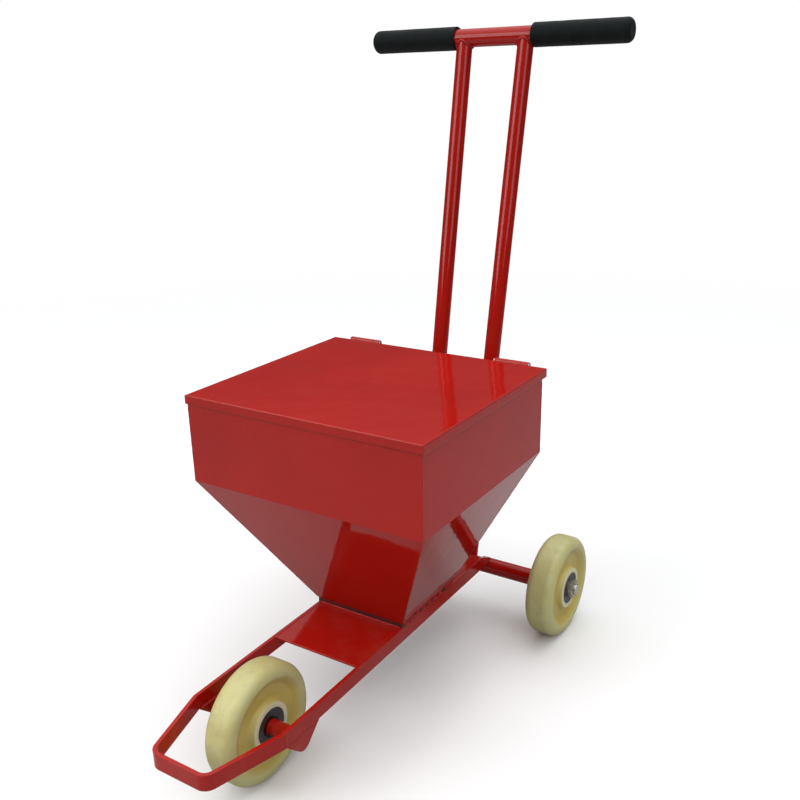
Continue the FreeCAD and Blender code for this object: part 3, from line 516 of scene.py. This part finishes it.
class SEEDER_OT_enamel(bpy.types.Operator):
    """Sprays the sheet metal, the bars and the tubes with glossy red enamel"""
    bl_idname = "seeder.enamel"
    bl_label = "Enamel"

    def execute(self, context):
        sheet = enamel("enamel_sheet", peel=0.7, waves=4.5, wear=0.5, dust=0.06, soft=0.0014)
        lid = enamel("enamel_lid", peel=0.8, waves=4.5, wear=0.7, dust=0.12, soft=0.0016,
                     rough=0.02)
        deck = enamel("enamel_deck", peel=1.0, waves=1.5, wear=0.9, dust=0.25, rough=0.05)
        bar = enamel("enamel_bar", peel=1.1, waves=0.8, wear=0.9, dust=0.22, soft=0.0010,
                     rough=0.04)
        tube = enamel("enamel_tube", peel=1.0, waves=0.7, wear=0.35, dust=0.05, rough=0.02)
        # the outlet neck gets the near-black painted shade, standing in for the shadow gap between
        # the hopper slope and the deck
        neck_shade_coat = enamel("enamel_neck_shade", peel=1.2, wear=0.0, dust=0.05, rough=0.35,
                         painted_shade=0.90)
        paint_nodes(sheet, "hopper_back_panel", "hopper_front_panel", "hopper_right_panel",
                    "hopper_left_panel", "throat_frame")
        paint_nodes(neck_shade_coat, "outlet_neck")
        paint_nodes(lid, "lid_panel")
        paint_nodes(deck, "deck_plate", "rear_deck_plate")
        paint_nodes(bar, "rail_right", "rail_left", "nose_bar", "post_brace",
                    "axle_bracket_right", "axle_bracket_left", "hinge_fixed_leaves",
                    "hinge_lid_leaves")
        paint_nodes(tube, "post_right", "post_left", "crossbar", "front_axle", "axle_tubes")
        axle = bare_ends(enamel("enamel_axle", wear=0.5, dust=0.15, rough=0.03),
                         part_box("rear_right_wheel")[1].x)
        paint_nodes(axle, "rear_axle")
        return {"FINISHED"}


class SEEDER_OT_wheels(bpy.types.Operator):
    """Finishes the nylon wheels, their bearings, seals and dust caps"""
    bl_idname = "seeder.wheels"
    bl_label = "Wheels"

    def execute(self, context):
        wheels = context.scene.seeder_wheels
        steel = metal("bearing_ground", context.scene.seeder_hardware.chrome, 0.16,
                      (1.0, 0.2, 0.2), 0.000015, 0.05)
        rubber = moulded("seal_rubber", wheels.rubber, 0.45, 900.0, 0.00005, 0.35)
        cap = moulded("cap_plastic", wheels.plastic, 0.30, 1400.0, 0.00003, 0.25)
        for wheel in ("front", "rear_right", "rear_left"):
            low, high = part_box(f"{wheel}_wheel")
            paint_nodes(nylon(f"nylon_{wheel}", (low + high) / 2), f"{wheel}_wheel")
            paint_nodes(steel, f"{wheel}_bearing_outer_rings", f"{wheel}_bearing_balls")
            paint_nodes(rubber, f"{wheel}_bearing_seals")
            paint_nodes(cap, f"{wheel}_hub_caps")
        paint_nodes(steel, "bearing_inner_rings")
        return {"FINISHED"}


class SEEDER_OT_hardware(bpy.types.Operator):
    """Finishes the plain steel parts, the plated nuts and the pull knob"""
    bl_idname = "seeder.hardware"
    bl_label = "Hardware"

    def execute(self, context):
        kit = context.scene.seeder_hardware
        plate = metal("steel_plate", kit.steel, 0.34, (0.12, 1.0, 1.0), 0.00004, 0.55)
        turned = metal("steel_turned", kit.steel, 0.26, (1.0, 0.15, 0.15), 0.00003, 0.30)
        zinc = metal("zinc_plate", kit.zinc, 0.24, (1.0, 0.6, 0.6), 0.00003, 0.12)
        knob = moulded("knob_plastic", context.scene.seeder_wheels.plastic, 0.16, 1100.0,
                       0.00002, 0.12)
        paint_nodes(plate, "metering_plate", "shutter_guides", "shutter_plate")
        black = metal("ring_black", RING_BLACK, 0.38, (1.0, 1.0, 1.0), 0.00003, 0.05)
        paint_nodes(turned, "pull_rod", "rod_stop_pins", "hinge_pins", "axle_washers",
                    "hub_sleeves")
        paint_nodes(black, "axle_retaining_rings")
        paint_nodes(zinc, "axle_nuts")
        paint_nodes(knob, "pull_knob")
        return {"FINISHED"}


# ------------------------------------------------------------------ weld beads

def geometry_tree(name, inputs):
    """A geometry node tree with a geometry input and named number inputs."""
    tree = bpy.data.node_groups.new(name, "GeometryNodeTree")
    tree.is_modifier = True
    tree.interface.new_socket("Geometry", in_out="INPUT", socket_type="NodeSocketGeometry")
    for label, kind, default in inputs:
        socket = tree.interface.new_socket(label, in_out="INPUT", socket_type="NodeSocket" + kind)
        socket.default_value = default
    tree.interface.new_socket("Geometry", in_out="OUTPUT", socket_type="NodeSocketGeometry")
    return tree, Net(tree)


def swept(net, path, radius, sides):
    """A closed round section swept along a path, its size following the radius."""
    sized = net.add("GeometryNodeSetCurveRadius", {"Curve": path, "Radius": radius})
    ring = net.add("GeometryNodeCurvePrimitiveCircle", {"Resolution": sides, "Radius": 1.0})
    body = net.add("GeometryNodeCurveToMesh", {"Curve": sized.outputs[0],
                                               "Profile Curve": ring.outputs["Curve"],
                                               "Fill Caps": True})
    if "Scale" in body.inputs:  # newer versions scale the section by this input instead
        net.feed(radius, body.inputs["Scale"])
    return body.outputs[0]


def finish_tree(net, shape, material):
    """Realizes, smooths and gives the material, then ends the tree."""
    real = net.add("GeometryNodeRealizeInstances", {0: shape}).outputs[0]
    smooth = net.add("GeometryNodeSetShadeSmooth", {"Geometry": real}).outputs[0]
    dressed = net.add("GeometryNodeSetMaterial", {"Geometry": smooth, "Material": material})
    net.add("NodeGroupOutput", {0: dressed.outputs[0]})


def bead_tree(material):
    """Weld beads along the splines of a curve: rippled, uneven and tapered at the ends."""
    tree, net = geometry_tree("weld_bead", [
        ("Radius", "Float", 0.002), ("Pitch", "Float", 0.0026), ("Step", "Float", 0.0007),
        ("Taper", "Float", 0.003), ("Seed", "Int", 0)])
    given = net.add("NodeGroupInput").outputs
    even = net.add("GeometryNodeResampleCurve", {"Curve": given["Geometry"],
                                                 "Length": given["Step"]}, mode="LENGTH")
    along = net.add("GeometryNodeSplineParameter").outputs["Length"]
    whole = net.add("GeometryNodeSplineLength").outputs["Length"]
    turns = net.math("MULTIPLY", net.math("DIVIDE", along, given["Pitch"]), 2 * math.pi)
    ripple = net.math("MULTIPLY", net.math("SINE", turns), 0.13)
    place = net.add("GeometryNodeInputPosition").outputs[0]
    uneven = net.add("ShaderNodeTexNoise", {"Vector": place, "W": given["Seed"], "Scale": 170.0,
                                            "Detail": 1.0}, noise_dimensions="4D").outputs[0]
    uneven = net.math("MULTIPLY", net.math("SUBTRACT", uneven, 0.5), 0.75)
    end = net.math("MINIMUM", along, net.math("SUBTRACT", whole, along))
    end = net.math("MAXIMUM", net.math("DIVIDE", end, given["Taper"]), 0.30)
    end = net.math("MINIMUM", net.math("SQRT", end), 1.0)
    factor = net.math("ADD", net.math("ADD", ripple, uneven), 1.0)
    radius = net.math("MULTIPLY", net.math("MULTIPLY", factor, end), given["Radius"])
    finish_tree(net, swept(net, even.outputs[0], radius, 8), material)
    return tree


def grown(name, source, tree, body, finish, **values):
    """Runs a tree over a source object once and keeps the result as a plain mesh piece."""
    modifier = source.modifiers.new("grow", "NODES")
    modifier.node_group = tree
    for item in tree.interface.items_tree:
        if item.item_type == "SOCKET" and item.in_out == "INPUT" and item.name in values:
            modifier[item.identifier] = values[item.name]
    graph = bpy.context.evaluated_depsgraph_get()
    mesh = bpy.data.meshes.new_from_object(source.evaluated_get(graph))
    mesh.name = name
    bpy.data.objects.remove(source)
    piece = bpy.data.objects.new(name, mesh)
    bpy.context.scene.collection.objects.link(piece)
    return finished(piece, body)


def path_object(paths):
    """A curve object with one straight-sided spline for each (points, closed) path."""
    curve = bpy.data.curves.new("paths", "CURVE")
    curve.dimensions = "3D"
    for points, closed in paths:
        spline = curve.splines.new("POLY")
        spline.points.add(len(points) - 1)
        for place, point in zip(spline.points, points):
            place.co = (*point, 1.0)
        spline.use_cyclic_u = closed
    source = bpy.data.objects.new("paths", curve)
    bpy.context.scene.collection.objects.link(source)
    return source


def mirror_x(paths):
    """The paths, and their mirror images in the middle plane."""
    other = [([Vector((-p.x, p.y, p.z)) for p in points], closed) for points, closed in paths]
    return paths + other


def stitches(start, end, run, gap):
    """Short straight runs with gaps between them."""
    whole = (end - start).length
    along = (end - start).normalized()
    made, here = [], 0.0
    while here < whole - run / 2:
        made.append(([start + along * here, start + along * min(here + run, whole)], False))
        here += run + gap
    return made


def turns_of(count):
    """That many even steps of a full turn."""
    return [2 * math.pi * step / count for step in range(count)]


def post_ring():
    """Where a leaning post meets the handle bar."""
    down = (POST_FOOT - POST_TOP).normalized()
    side = down.cross(Vector((0.0, 1.0, 0.0))).normalized()
    other = down.cross(side)
    points = []
    for turn in turns_of(56):
        start = POST_TOP + POST_RADIUS * (math.cos(turn) * side + math.sin(turn) * other)
        off_y, off_z = start.y - POST_TOP.y, start.z - POST_TOP.z
        a = down.y ** 2 + down.z ** 2
        b = 2 * (off_y * down.y + off_z * down.z)
        c = off_y ** 2 + off_z ** 2 - BAR_RADIUS ** 2
        points.append(start + down * ((-b + math.sqrt(b * b - 4 * a * c)) / (2 * a)))
    return points


def axle_ring(centre_y, centre_z, radius, x):
    """A ring round an axle at x."""
    return [Vector((x, centre_y + radius * math.cos(turn), centre_z + radius * math.sin(turn)))
            for turn in turns_of(40)]


def post_axle_ring():
    """The fillet where a post leans on the rear axle."""
    low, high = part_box("rear_axle")
    middle = (low + high) / 2
    axle = (high.y - low.y) / 2
    lean = (POST_TOP - POST_FOOT) / (POST_TOP.z - POST_FOOT.z)
    post = POST_FOOT + lean * (middle.z - POST_FOOT.z)
    touch = (post.y + POST_RADIUS + middle.y - axle) / 2
    reach = 6.5 * MM
    points = []
    for turn in turns_of(32):
        across, up = reach * math.cos(turn), reach * math.sin(turn)
        back = POST_RADIUS - math.sqrt(POST_RADIUS ** 2 - across ** 2)
        fore = axle - math.sqrt(axle ** 2 - up ** 2)
        points.append(Vector((post.x + across, touch + (fore - back) / 2, middle.z + up)))
    return points


def frame_paths():
    """Structural beads of the right half of the frame and handle."""
    rail_low, rail_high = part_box("rail_right")
    arm_low, arm_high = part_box("axle_bracket_right")
    axle_low, axle_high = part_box("rear_axle")
    front_low, front_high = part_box("front_axle")
    brace_low, brace_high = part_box("post_brace")
    pipe_low, pipe_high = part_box("axle_tubes")
    paths = [(post_ring(), True), (post_axle_ring(), True)]
    middle, radius = (axle_low + axle_high) / 2, (pipe_high.y - pipe_low.y) / 2
    for x in (rail_low.x - 0.4 * MM, rail_high.x + 0.1 * MM):
        arc = []
        for count in range(13):
            turn = math.radians(-28 - 44 * count / 12)
            arc.append(Vector((x, middle.y + radius * math.sin(turn),
                               middle.z + radius * math.cos(turn))))
        paths.append(([point for point in arc if point.z > rail_low.z - 1.2 * MM], False))
    edge = arm_low.x - 0.2 * MM
    paths.append(([Vector((edge, arm_low.y + 1 * MM, arm_high.z)),
                   Vector((edge, arm_high.y - 1 * MM, arm_high.z))], False))
    front = (front_low + front_high) / 2
    paths.append((axle_ring(front.y, front.z, (front_high.y - front_low.y) / 2 + 0.6 * MM,
                            arm_low.x - 0.5 * MM), True))
    for y in (brace_low.y - 0.5 * MM, brace_high.y + 0.5 * MM):
        paths.append(([Vector((brace_high.x, y, brace_low.z + 2 * MM)),
                       Vector((brace_high.x, y, brace_high.z - 2 * MM))], False))
    return mirror_x(paths)


def seam_paths():
    """Slim ground seams of the right half of the hopper, the deck and the nose."""
    rail_low, rail_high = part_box("rail_right")
    deck_low, deck_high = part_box("deck_plate")
    wall_low, wall_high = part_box("hopper_front_panel")
    back_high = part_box("hopper_back_panel")[1]
    inset = 0.35 * MM
    paths = []
    for face, mouth, sign in ((wall_low.y, MOUTH_FRONT, 1), (back_high.y, MOUTH_BACK, -1)):
        paths.append(([Vector((wall_high.x - inset, face + sign * inset, WALL_TOP)),
                       Vector((wall_high.x - inset, face + sign * inset, FOLD_Z)),
                       Vector((MOUTH_X - inset, mouth + sign * inset, wall_low.z + 1 * MM))],
                      False))
    paths.append(([Vector((deck_high.x + 0.15 * MM, deck_low.y + 1 * MM, deck_high.z - 0.3 * MM)),
                   Vector((deck_high.x + 0.15 * MM, deck_high.y, deck_high.z - 0.3 * MM))],
                  False))
    paths.append(([Vector((rail_high.x - 0.2 * MM, rail_low.y, rail_low.z + 0.5 * MM)),
                   Vector((rail_high.x - 0.2 * MM, rail_low.y, rail_high.z - 0.5 * MM))], False))
    return mirror_x(paths)


def neck_paths():
    """Beads round the outlet neck where it sits on the deck and the rails, and hinge welds."""
    low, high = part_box("outlet_neck")
    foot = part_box("deck_plate")[1].z + 0.5 * MM
    reach = 66 * MM
    paths = [([Vector((-reach, y, foot)), Vector((reach, y, foot))], False)
             for y in (low.y - 0.2 * MM, high.y + 0.2 * MM)]
    leaf_low, leaf_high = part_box("hinge_fixed_leaves")
    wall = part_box("hopper_back_panel")[1].y + 1.0 * MM
    side = []
    for edge in (leaf_high.x - 50 * MM, leaf_high.x):
        side.append(([Vector((edge, wall, leaf_low.z + 4 * MM)),
                      Vector((edge, wall, leaf_low.z + 26 * MM))], False))
    side.append(([Vector((leaf_high.x - 46 * MM, wall, leaf_low.z)),
                  Vector((leaf_high.x - 4 * MM, wall, leaf_low.z))], False))
    return paths + mirror_x(side)


def stitch_paths():
    """Short fat stitches that close the sides of the neck, with dark gaps between them."""
    low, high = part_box("outlet_neck")
    gap = 4.5 * MM
    x = high.x - 0.9 * MM
    side = []
    for start, stop, run in ((low.y + 5 * MM, high.y - 26 * MM, 10.5 * MM),
                             (high.y - 22 * MM, high.y, 30 * MM)):
        for level in (0.25, 0.70):
            z = low.z + (high.z - low.z) * level
            side += stitches(Vector((x, start, z)), Vector((x, stop, z)), run, gap)
    return mirror_x(side)


class SEEDER_OT_welds(bpy.types.Operator):
    """Lays the weld beads of the frame, the handle, the hopper and the hinges"""
    bl_idname = "seeder.welds"
    bl_label = "Welds"

    def execute(self, context):
        welds = context.scene.seeder_welds
        coat = enamel("enamel_weld", peel=0.6, waves=0.5, wear=0.2, dust=0.15, rough=0.05)
        tree = bead_tree(coat)
        plans = (("frame_weld_beads", frame_paths(), welds.bead, 4.0 * MM),
                 ("hopper_corner_seams", seam_paths(), welds.seam, 2.0 * MM),
                 ("neck_and_hinge_welds", neck_paths(), welds.fillet, 2.5 * MM),
                 ("neck_side_stitches", stitch_paths(), welds.stitch, 2.0 * MM))
        for name, paths, radius, taper in plans:
            grown(name, path_object(paths), tree, "chassis", "red_paint", Radius=radius,
                  Pitch=welds.pitch, Step=welds.step, Taper=taper, Seed=welds.seed)
        return {"FINISHED"}


# ------------------------------------------------------------------ axle threads

def thread_tree(material):
    """A spiral thread ridge at each end of the rear axle."""
    tree, net = geometry_tree("axle_thread", [
        ("Start", "Float", 0.208), ("End", "Float", 0.2104), ("Pitch", "Float", 0.0015),
        ("Radius", "Float", 0.008), ("Ridge", "Float", 0.0005),
        ("Centre Y", "Float", 0.232), ("Centre Z", "Float", 0.075)])
    given = net.add("NodeGroupInput").outputs
    run = net.math("SUBTRACT", given["End"], given["Start"])
    spiral = net.add("GeometryNodeCurveSpiral", {
        "Resolution": 40, "Rotations": net.math("DIVIDE", run, given["Pitch"]),
        "Start Radius": given["Radius"], "End Radius": given["Radius"], "Height": run})
    ridge = swept(net, spiral.outputs[0], given["Ridge"], 6)
    join = net.add("GeometryNodeJoinGeometry")
    for angle, sign in ((math.pi / 2, 1.0), (-math.pi / 2, -1.0)):
        place = net.add("ShaderNodeCombineXYZ", {
            "X": net.math("MULTIPLY", given["Start"], sign), "Y": given["Centre Y"],
            "Z": given["Centre Z"]})
        end = net.add("GeometryNodeTransform", {
            "Geometry": ridge, "Translation": place.outputs[0], "Rotation": (0.0, angle, 0.0)})
        net.feed(end.outputs[0], join.inputs[0])
    finish_tree(net, join.outputs[0], material)
    return tree


class SEEDER_OT_threads(bpy.types.Operator):
    """Cuts the thread that shows past each axle nut"""
    bl_idname = "seeder.threads"
    bl_label = "Axle threads"

    def execute(self, context):
        low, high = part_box("rear_axle")
        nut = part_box("axle_nuts")[1].x
        middle = (low + high) / 2
        source = bpy.data.objects.new("spiral", bpy.data.meshes.new("spiral"))
        context.scene.collection.objects.link(source)
        coat = metal("thread_steel", context.scene.seeder_hardware.steel, 0.30,
                     (1.0, 0.2, 0.2), 0.00002, 0.25)
        grown("axle_threads", source, thread_tree(coat), "chassis", "zinc_steel",
              Start=nut + 0.3 * MM, End=high.x - 0.9 * MM,
              Pitch=context.scene.seeder_hardware.thread_pitch, Radius=7.7 * MM,
              Ridge=0.62 * MM, **{"Centre Y": middle.y, "Centre Z": middle.z})
        return {"FINISHED"}


# ------------------------------------------------------------------ foam grips

def grip_profile(inner_x, outer_x, radius, bore, rounding):
    """(x, radius) along the outside of a grip, from its mouth to the middle of its closed end."""
    lip, lip_steps, end_steps = 1.6 * MM, 6, 12
    outline = [(inner_x + 0.3 * MM, bore)]
    for count in range(lip_steps + 1):
        turn = math.pi / 2 * count / lip_steps
        outline.append((inner_x + lip - lip * math.cos(turn) + 0.02 * MM,
                        radius - lip + lip * math.sin(turn)))
    start, stop = inner_x + lip, outer_x - rounding
    rows = 64
    outline += [(start + (stop - start) * count / rows, radius) for count in range(1, rows)]
    for count in range(end_steps + 1):
        turn = math.pi / 2 * count / end_steps
        outline.append((stop + rounding * math.sin(turn),
                        radius - rounding + rounding * math.cos(turn)))
    face = radius - rounding
    outline += [(outer_x - 0.05 * MM, face * 0.6), (outer_x - 0.35 * MM, face * 0.3),
                (outer_x - 0.5 * MM, 0.0)]
    return outline


def lathe(name, outline, bore_end, bore, centre, sign, dents, material):
    """A closed grip turned about the handle bar, its skin softly uneven."""
    sides = 80
    vertices, faces, rings = [], [], []
    inside = [(bore_end, 0.0), (bore_end, bore * 0.5), (bore_end, bore)]
    for x, radius in inside + outline:
        if radius == 0.0:
            rings.append([len(vertices)])
            vertices.append(Vector((sign * x, centre.y, centre.z)))
            continue
        ring = []
        for turn in turns_of(sides):
            spin = Vector((0.0, math.cos(turn), math.sin(turn)))
            at = Vector((sign * x, 0.0, 0.0)) + spin * radius
            skin = radius
            if radius > bore * 1.05:
                slow = noise.noise(at * 55.0) * 0.7 + noise.noise(at * 160.0) * 0.3
                skin = radius - dents * (1.0 + slow)
            ring.append(len(vertices))
            vertices.append(Vector((sign * x, centre.y, centre.z)) + spin * skin)
        rings.append(ring)
    for first, second in zip(rings, rings[1:]):
        for count in range(sides):
            after = (count + 1) % sides
            if len(first) == 1:
                face = [first[0], second[count], second[after]]
            elif len(second) == 1:
                face = [first[count], second[0], first[after]]
            else:
                face = [first[count], second[count], second[after], first[after]]
            faces.append(face if sign < 0 else face[::-1])
    mesh = bpy.data.meshes.new(name)
    mesh.from_pydata(vertices, [], faces)
    mesh.materials.append(material)
    mesh.update()
    piece = bpy.data.objects.new(name, mesh)
    bpy.context.scene.collection.objects.link(piece)
    return piece


class SEEDER_OT_grips(bpy.types.Operator):
    """Pulls a closed foam grip over each end of the handle bar"""
    bl_idname = "seeder.grips"
    bl_label = "Foam grips"

    def execute(self, context):
        grips = context.scene.seeder_grips
        material = foam("foam_grip")
        bore_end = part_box("crossbar")[1].x + 0.3 * MM
        bore = BAR_RADIUS + 0.1 * MM
        for side, sign in (("right", 1), ("left", -1)):
            low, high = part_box(f"grip_{side}")
            near, far = sorted((abs(low.x), abs(high.x)))
            radius = (high.z - low.z) / 2
            outline = grip_profile(near, far, radius, bore, grips.rounding)
            piece = lathe(f"grip_{side}_foam", outline, bore_end, bore, (low + high) / 2, sign,
                          grips.dents, material)
            finished(piece, "chassis")
            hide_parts(f"grip_{side}")
        return {"FINISHED"}


# ------------------------------------------------------------------ stage

def soft_light(name, place, size, watts):
    """A square soft light at place that faces the seeder."""
    data = bpy.data.lights.new(name, "AREA")
    data.shape = "SQUARE"
    data.size = size
    data.energy = watts
    light = bpy.data.objects.new(name, data)
    light.location = place
    light.visible_camera = False
    facing = (Vector(LIT_POINT) - Vector(place)).to_track_quat("-Z", "Y")
    light.rotation_euler = facing.to_euler()
    bpy.context.scene.collection.objects.link(light)


def floor_material(stage):
    """Plain pale floor that fades out far away, and that mirrors darker than it looks."""
    material, net, shader, spot = start_material("floor_pale", Specular_IOR_Level=0.15)
    tone = net.ramp(net.noise(spot, 3.0, 3.0), 0.3, 0.7)
    seen = net.add("ShaderNodeLightPath").outputs["Is Camera Ray"]
    bounce = tuple(c * stage.bounce for c in stage.floor)
    shade = tuple(c * 0.985 for c in stage.floor)
    pale = net.mix(tone, tuple(stage.floor), shade)
    net.feed(net.mix(seen, bounce, pale), shader.inputs["Base Color"])
    net.feed(net.ramp(tone, 0.0, 1.0, 0.60, 0.68), shader.inputs["Roughness"])
    away = net.add("ShaderNodeVectorMath", {0: spot}, operation="LENGTH").outputs["Value"]
    net.feed(net.ramp(away, 3.4, 0.9), shader.inputs["Alpha"])
    return material


def sky():
    """White to the camera; soft and brighter overhead for everything else."""
    world = bpy.data.worlds.new("studio")
    world.use_nodes = True
    net = Net(world.node_tree)
    net.tree.nodes.clear()
    look = net.add("ShaderNodeTexCoord").outputs["Generated"]
    rise = net.add("ShaderNodeSeparateXYZ", {0: look}).outputs["Z"]
    glow = net.ramp(rise, 0.25, 0.95, 0.10, 1.55)
    soft = net.add("ShaderNodeBackground", {"Color": (0.97, 0.985, 1.0), "Strength": glow})
    plain = net.add("ShaderNodeBackground", {"Color": (1.0, 1.0, 1.0), "Strength": 1.0})
    seen = net.add("ShaderNodeLightPath").outputs["Is Camera Ray"]
    both = net.add("ShaderNodeMixShader", {0: seen, 1: soft.outputs[0], 2: plain.outputs[0]})
    net.add("ShaderNodeOutputWorld", {"Surface": both.outputs[0]})
    bpy.context.scene.world = world


class SEEDER_OT_stage(bpy.types.Operator):
    """Sets the pale floor, the soft lights and the camera"""
    bl_idname = "seeder.stage"
    bl_label = "Stage"

    def execute(self, context):
        stage = context.scene.seeder_stage
        sky()
        ring = [(FLOOR_RADIUS * math.cos(turn), FLOOR_RADIUS * math.sin(turn), 0.0)
                for turn in turns_of(FLOOR_SIDES)]
        mesh = bpy.data.meshes.new("floor")
        mesh.from_pydata(ring, [], [list(range(FLOOR_SIDES))])
        mesh.materials.append(floor_material(stage))
        floor = bpy.data.objects.new("floor", mesh)
        context.scene.collection.objects.link(floor)
        soft_light("key_light", (-1.7, -2.6, 2.0), 2.2, stage.key)
        soft_light("side_light", (2.6, -1.2, 1.6), 1.6, stage.side)
        soft_light("top_light", (0.5, 0.7, 3.4), 2.6, stage.top)
        turn, rise, roll = stage.azimuth, stage.elevation, stage.roll
        back = Vector((math.sin(turn) * math.cos(rise), -math.cos(turn) * math.cos(rise),
                       math.sin(rise)))
        right = Vector((math.cos(turn), math.sin(turn), 0.0))
        up = back.cross(right)
        right, up = (math.cos(roll) * right + math.sin(roll) * up,
                     math.cos(roll) * up - math.sin(roll) * right)
        data = bpy.data.cameras.new("camera")
        data.sensor_width = SENSOR_WIDTH
        data.lens = CAMERA_LENS
        data.shift_x, data.shift_y = CAMERA_SHIFT
        camera = bpy.data.objects.new("camera", data)
        camera.matrix_world = (Matrix.Translation(CAMERA_PLACE)
                               @ Matrix((right, up, back)).transposed().to_4x4())
        context.scene.collection.objects.link(camera)
        context.scene.camera = camera
        context.scene.view_settings.view_transform = "Standard"
        return {"FINISHED"}


# ------------------------------------------------------------------ panel and running

OPERATORS = (SEEDER_OT_enamel, SEEDER_OT_wheels, SEEDER_OT_hardware, SEEDER_OT_welds,
             SEEDER_OT_threads, SEEDER_OT_grips, SEEDER_OT_stage)


class SEEDER_PT_panel(bpy.types.Panel):
    """Sizes, colours and steps of the seeder"""
    bl_label = "Seeder"
    bl_idname = "SEEDER_PT_panel"
    bl_space_type = "VIEW_3D"
    bl_region_type = "UI"
    bl_category = "Seeder"

    def draw(self, context):
        for operator in OPERATORS:
            self.layout.operator(operator.bl_idname)
        for name, group in GROUPS.items():
            box = self.layout.box()
            values = getattr(context.scene, name)
            for key in group.__annotations__:
                box.prop(values, key)


CLASSES = (*GROUPS.values(), *OPERATORS, SEEDER_PT_panel)


def register():
    """Registers the classes and hangs the settings on the scene."""
    for one in CLASSES:
        bpy.utils.register_class(one)
    for name, group in GROUPS.items():
        setattr(bpy.types.Scene, name, bpy.props.PointerProperty(type=group))


def unregister():
    """Takes the settings and the classes away."""
    for name in GROUPS:
        delattr(bpy.types.Scene, name)
    for one in reversed(CLASSES):
        bpy.utils.unregister_class(one)


def main():
    """Builds the finished seeder and its stage."""
    register()
    for operator in OPERATORS:
        family, step = operator.bl_idname.split(".")
        getattr(getattr(bpy.ops, family), step)()


if __name__ == "__main__":
    main()
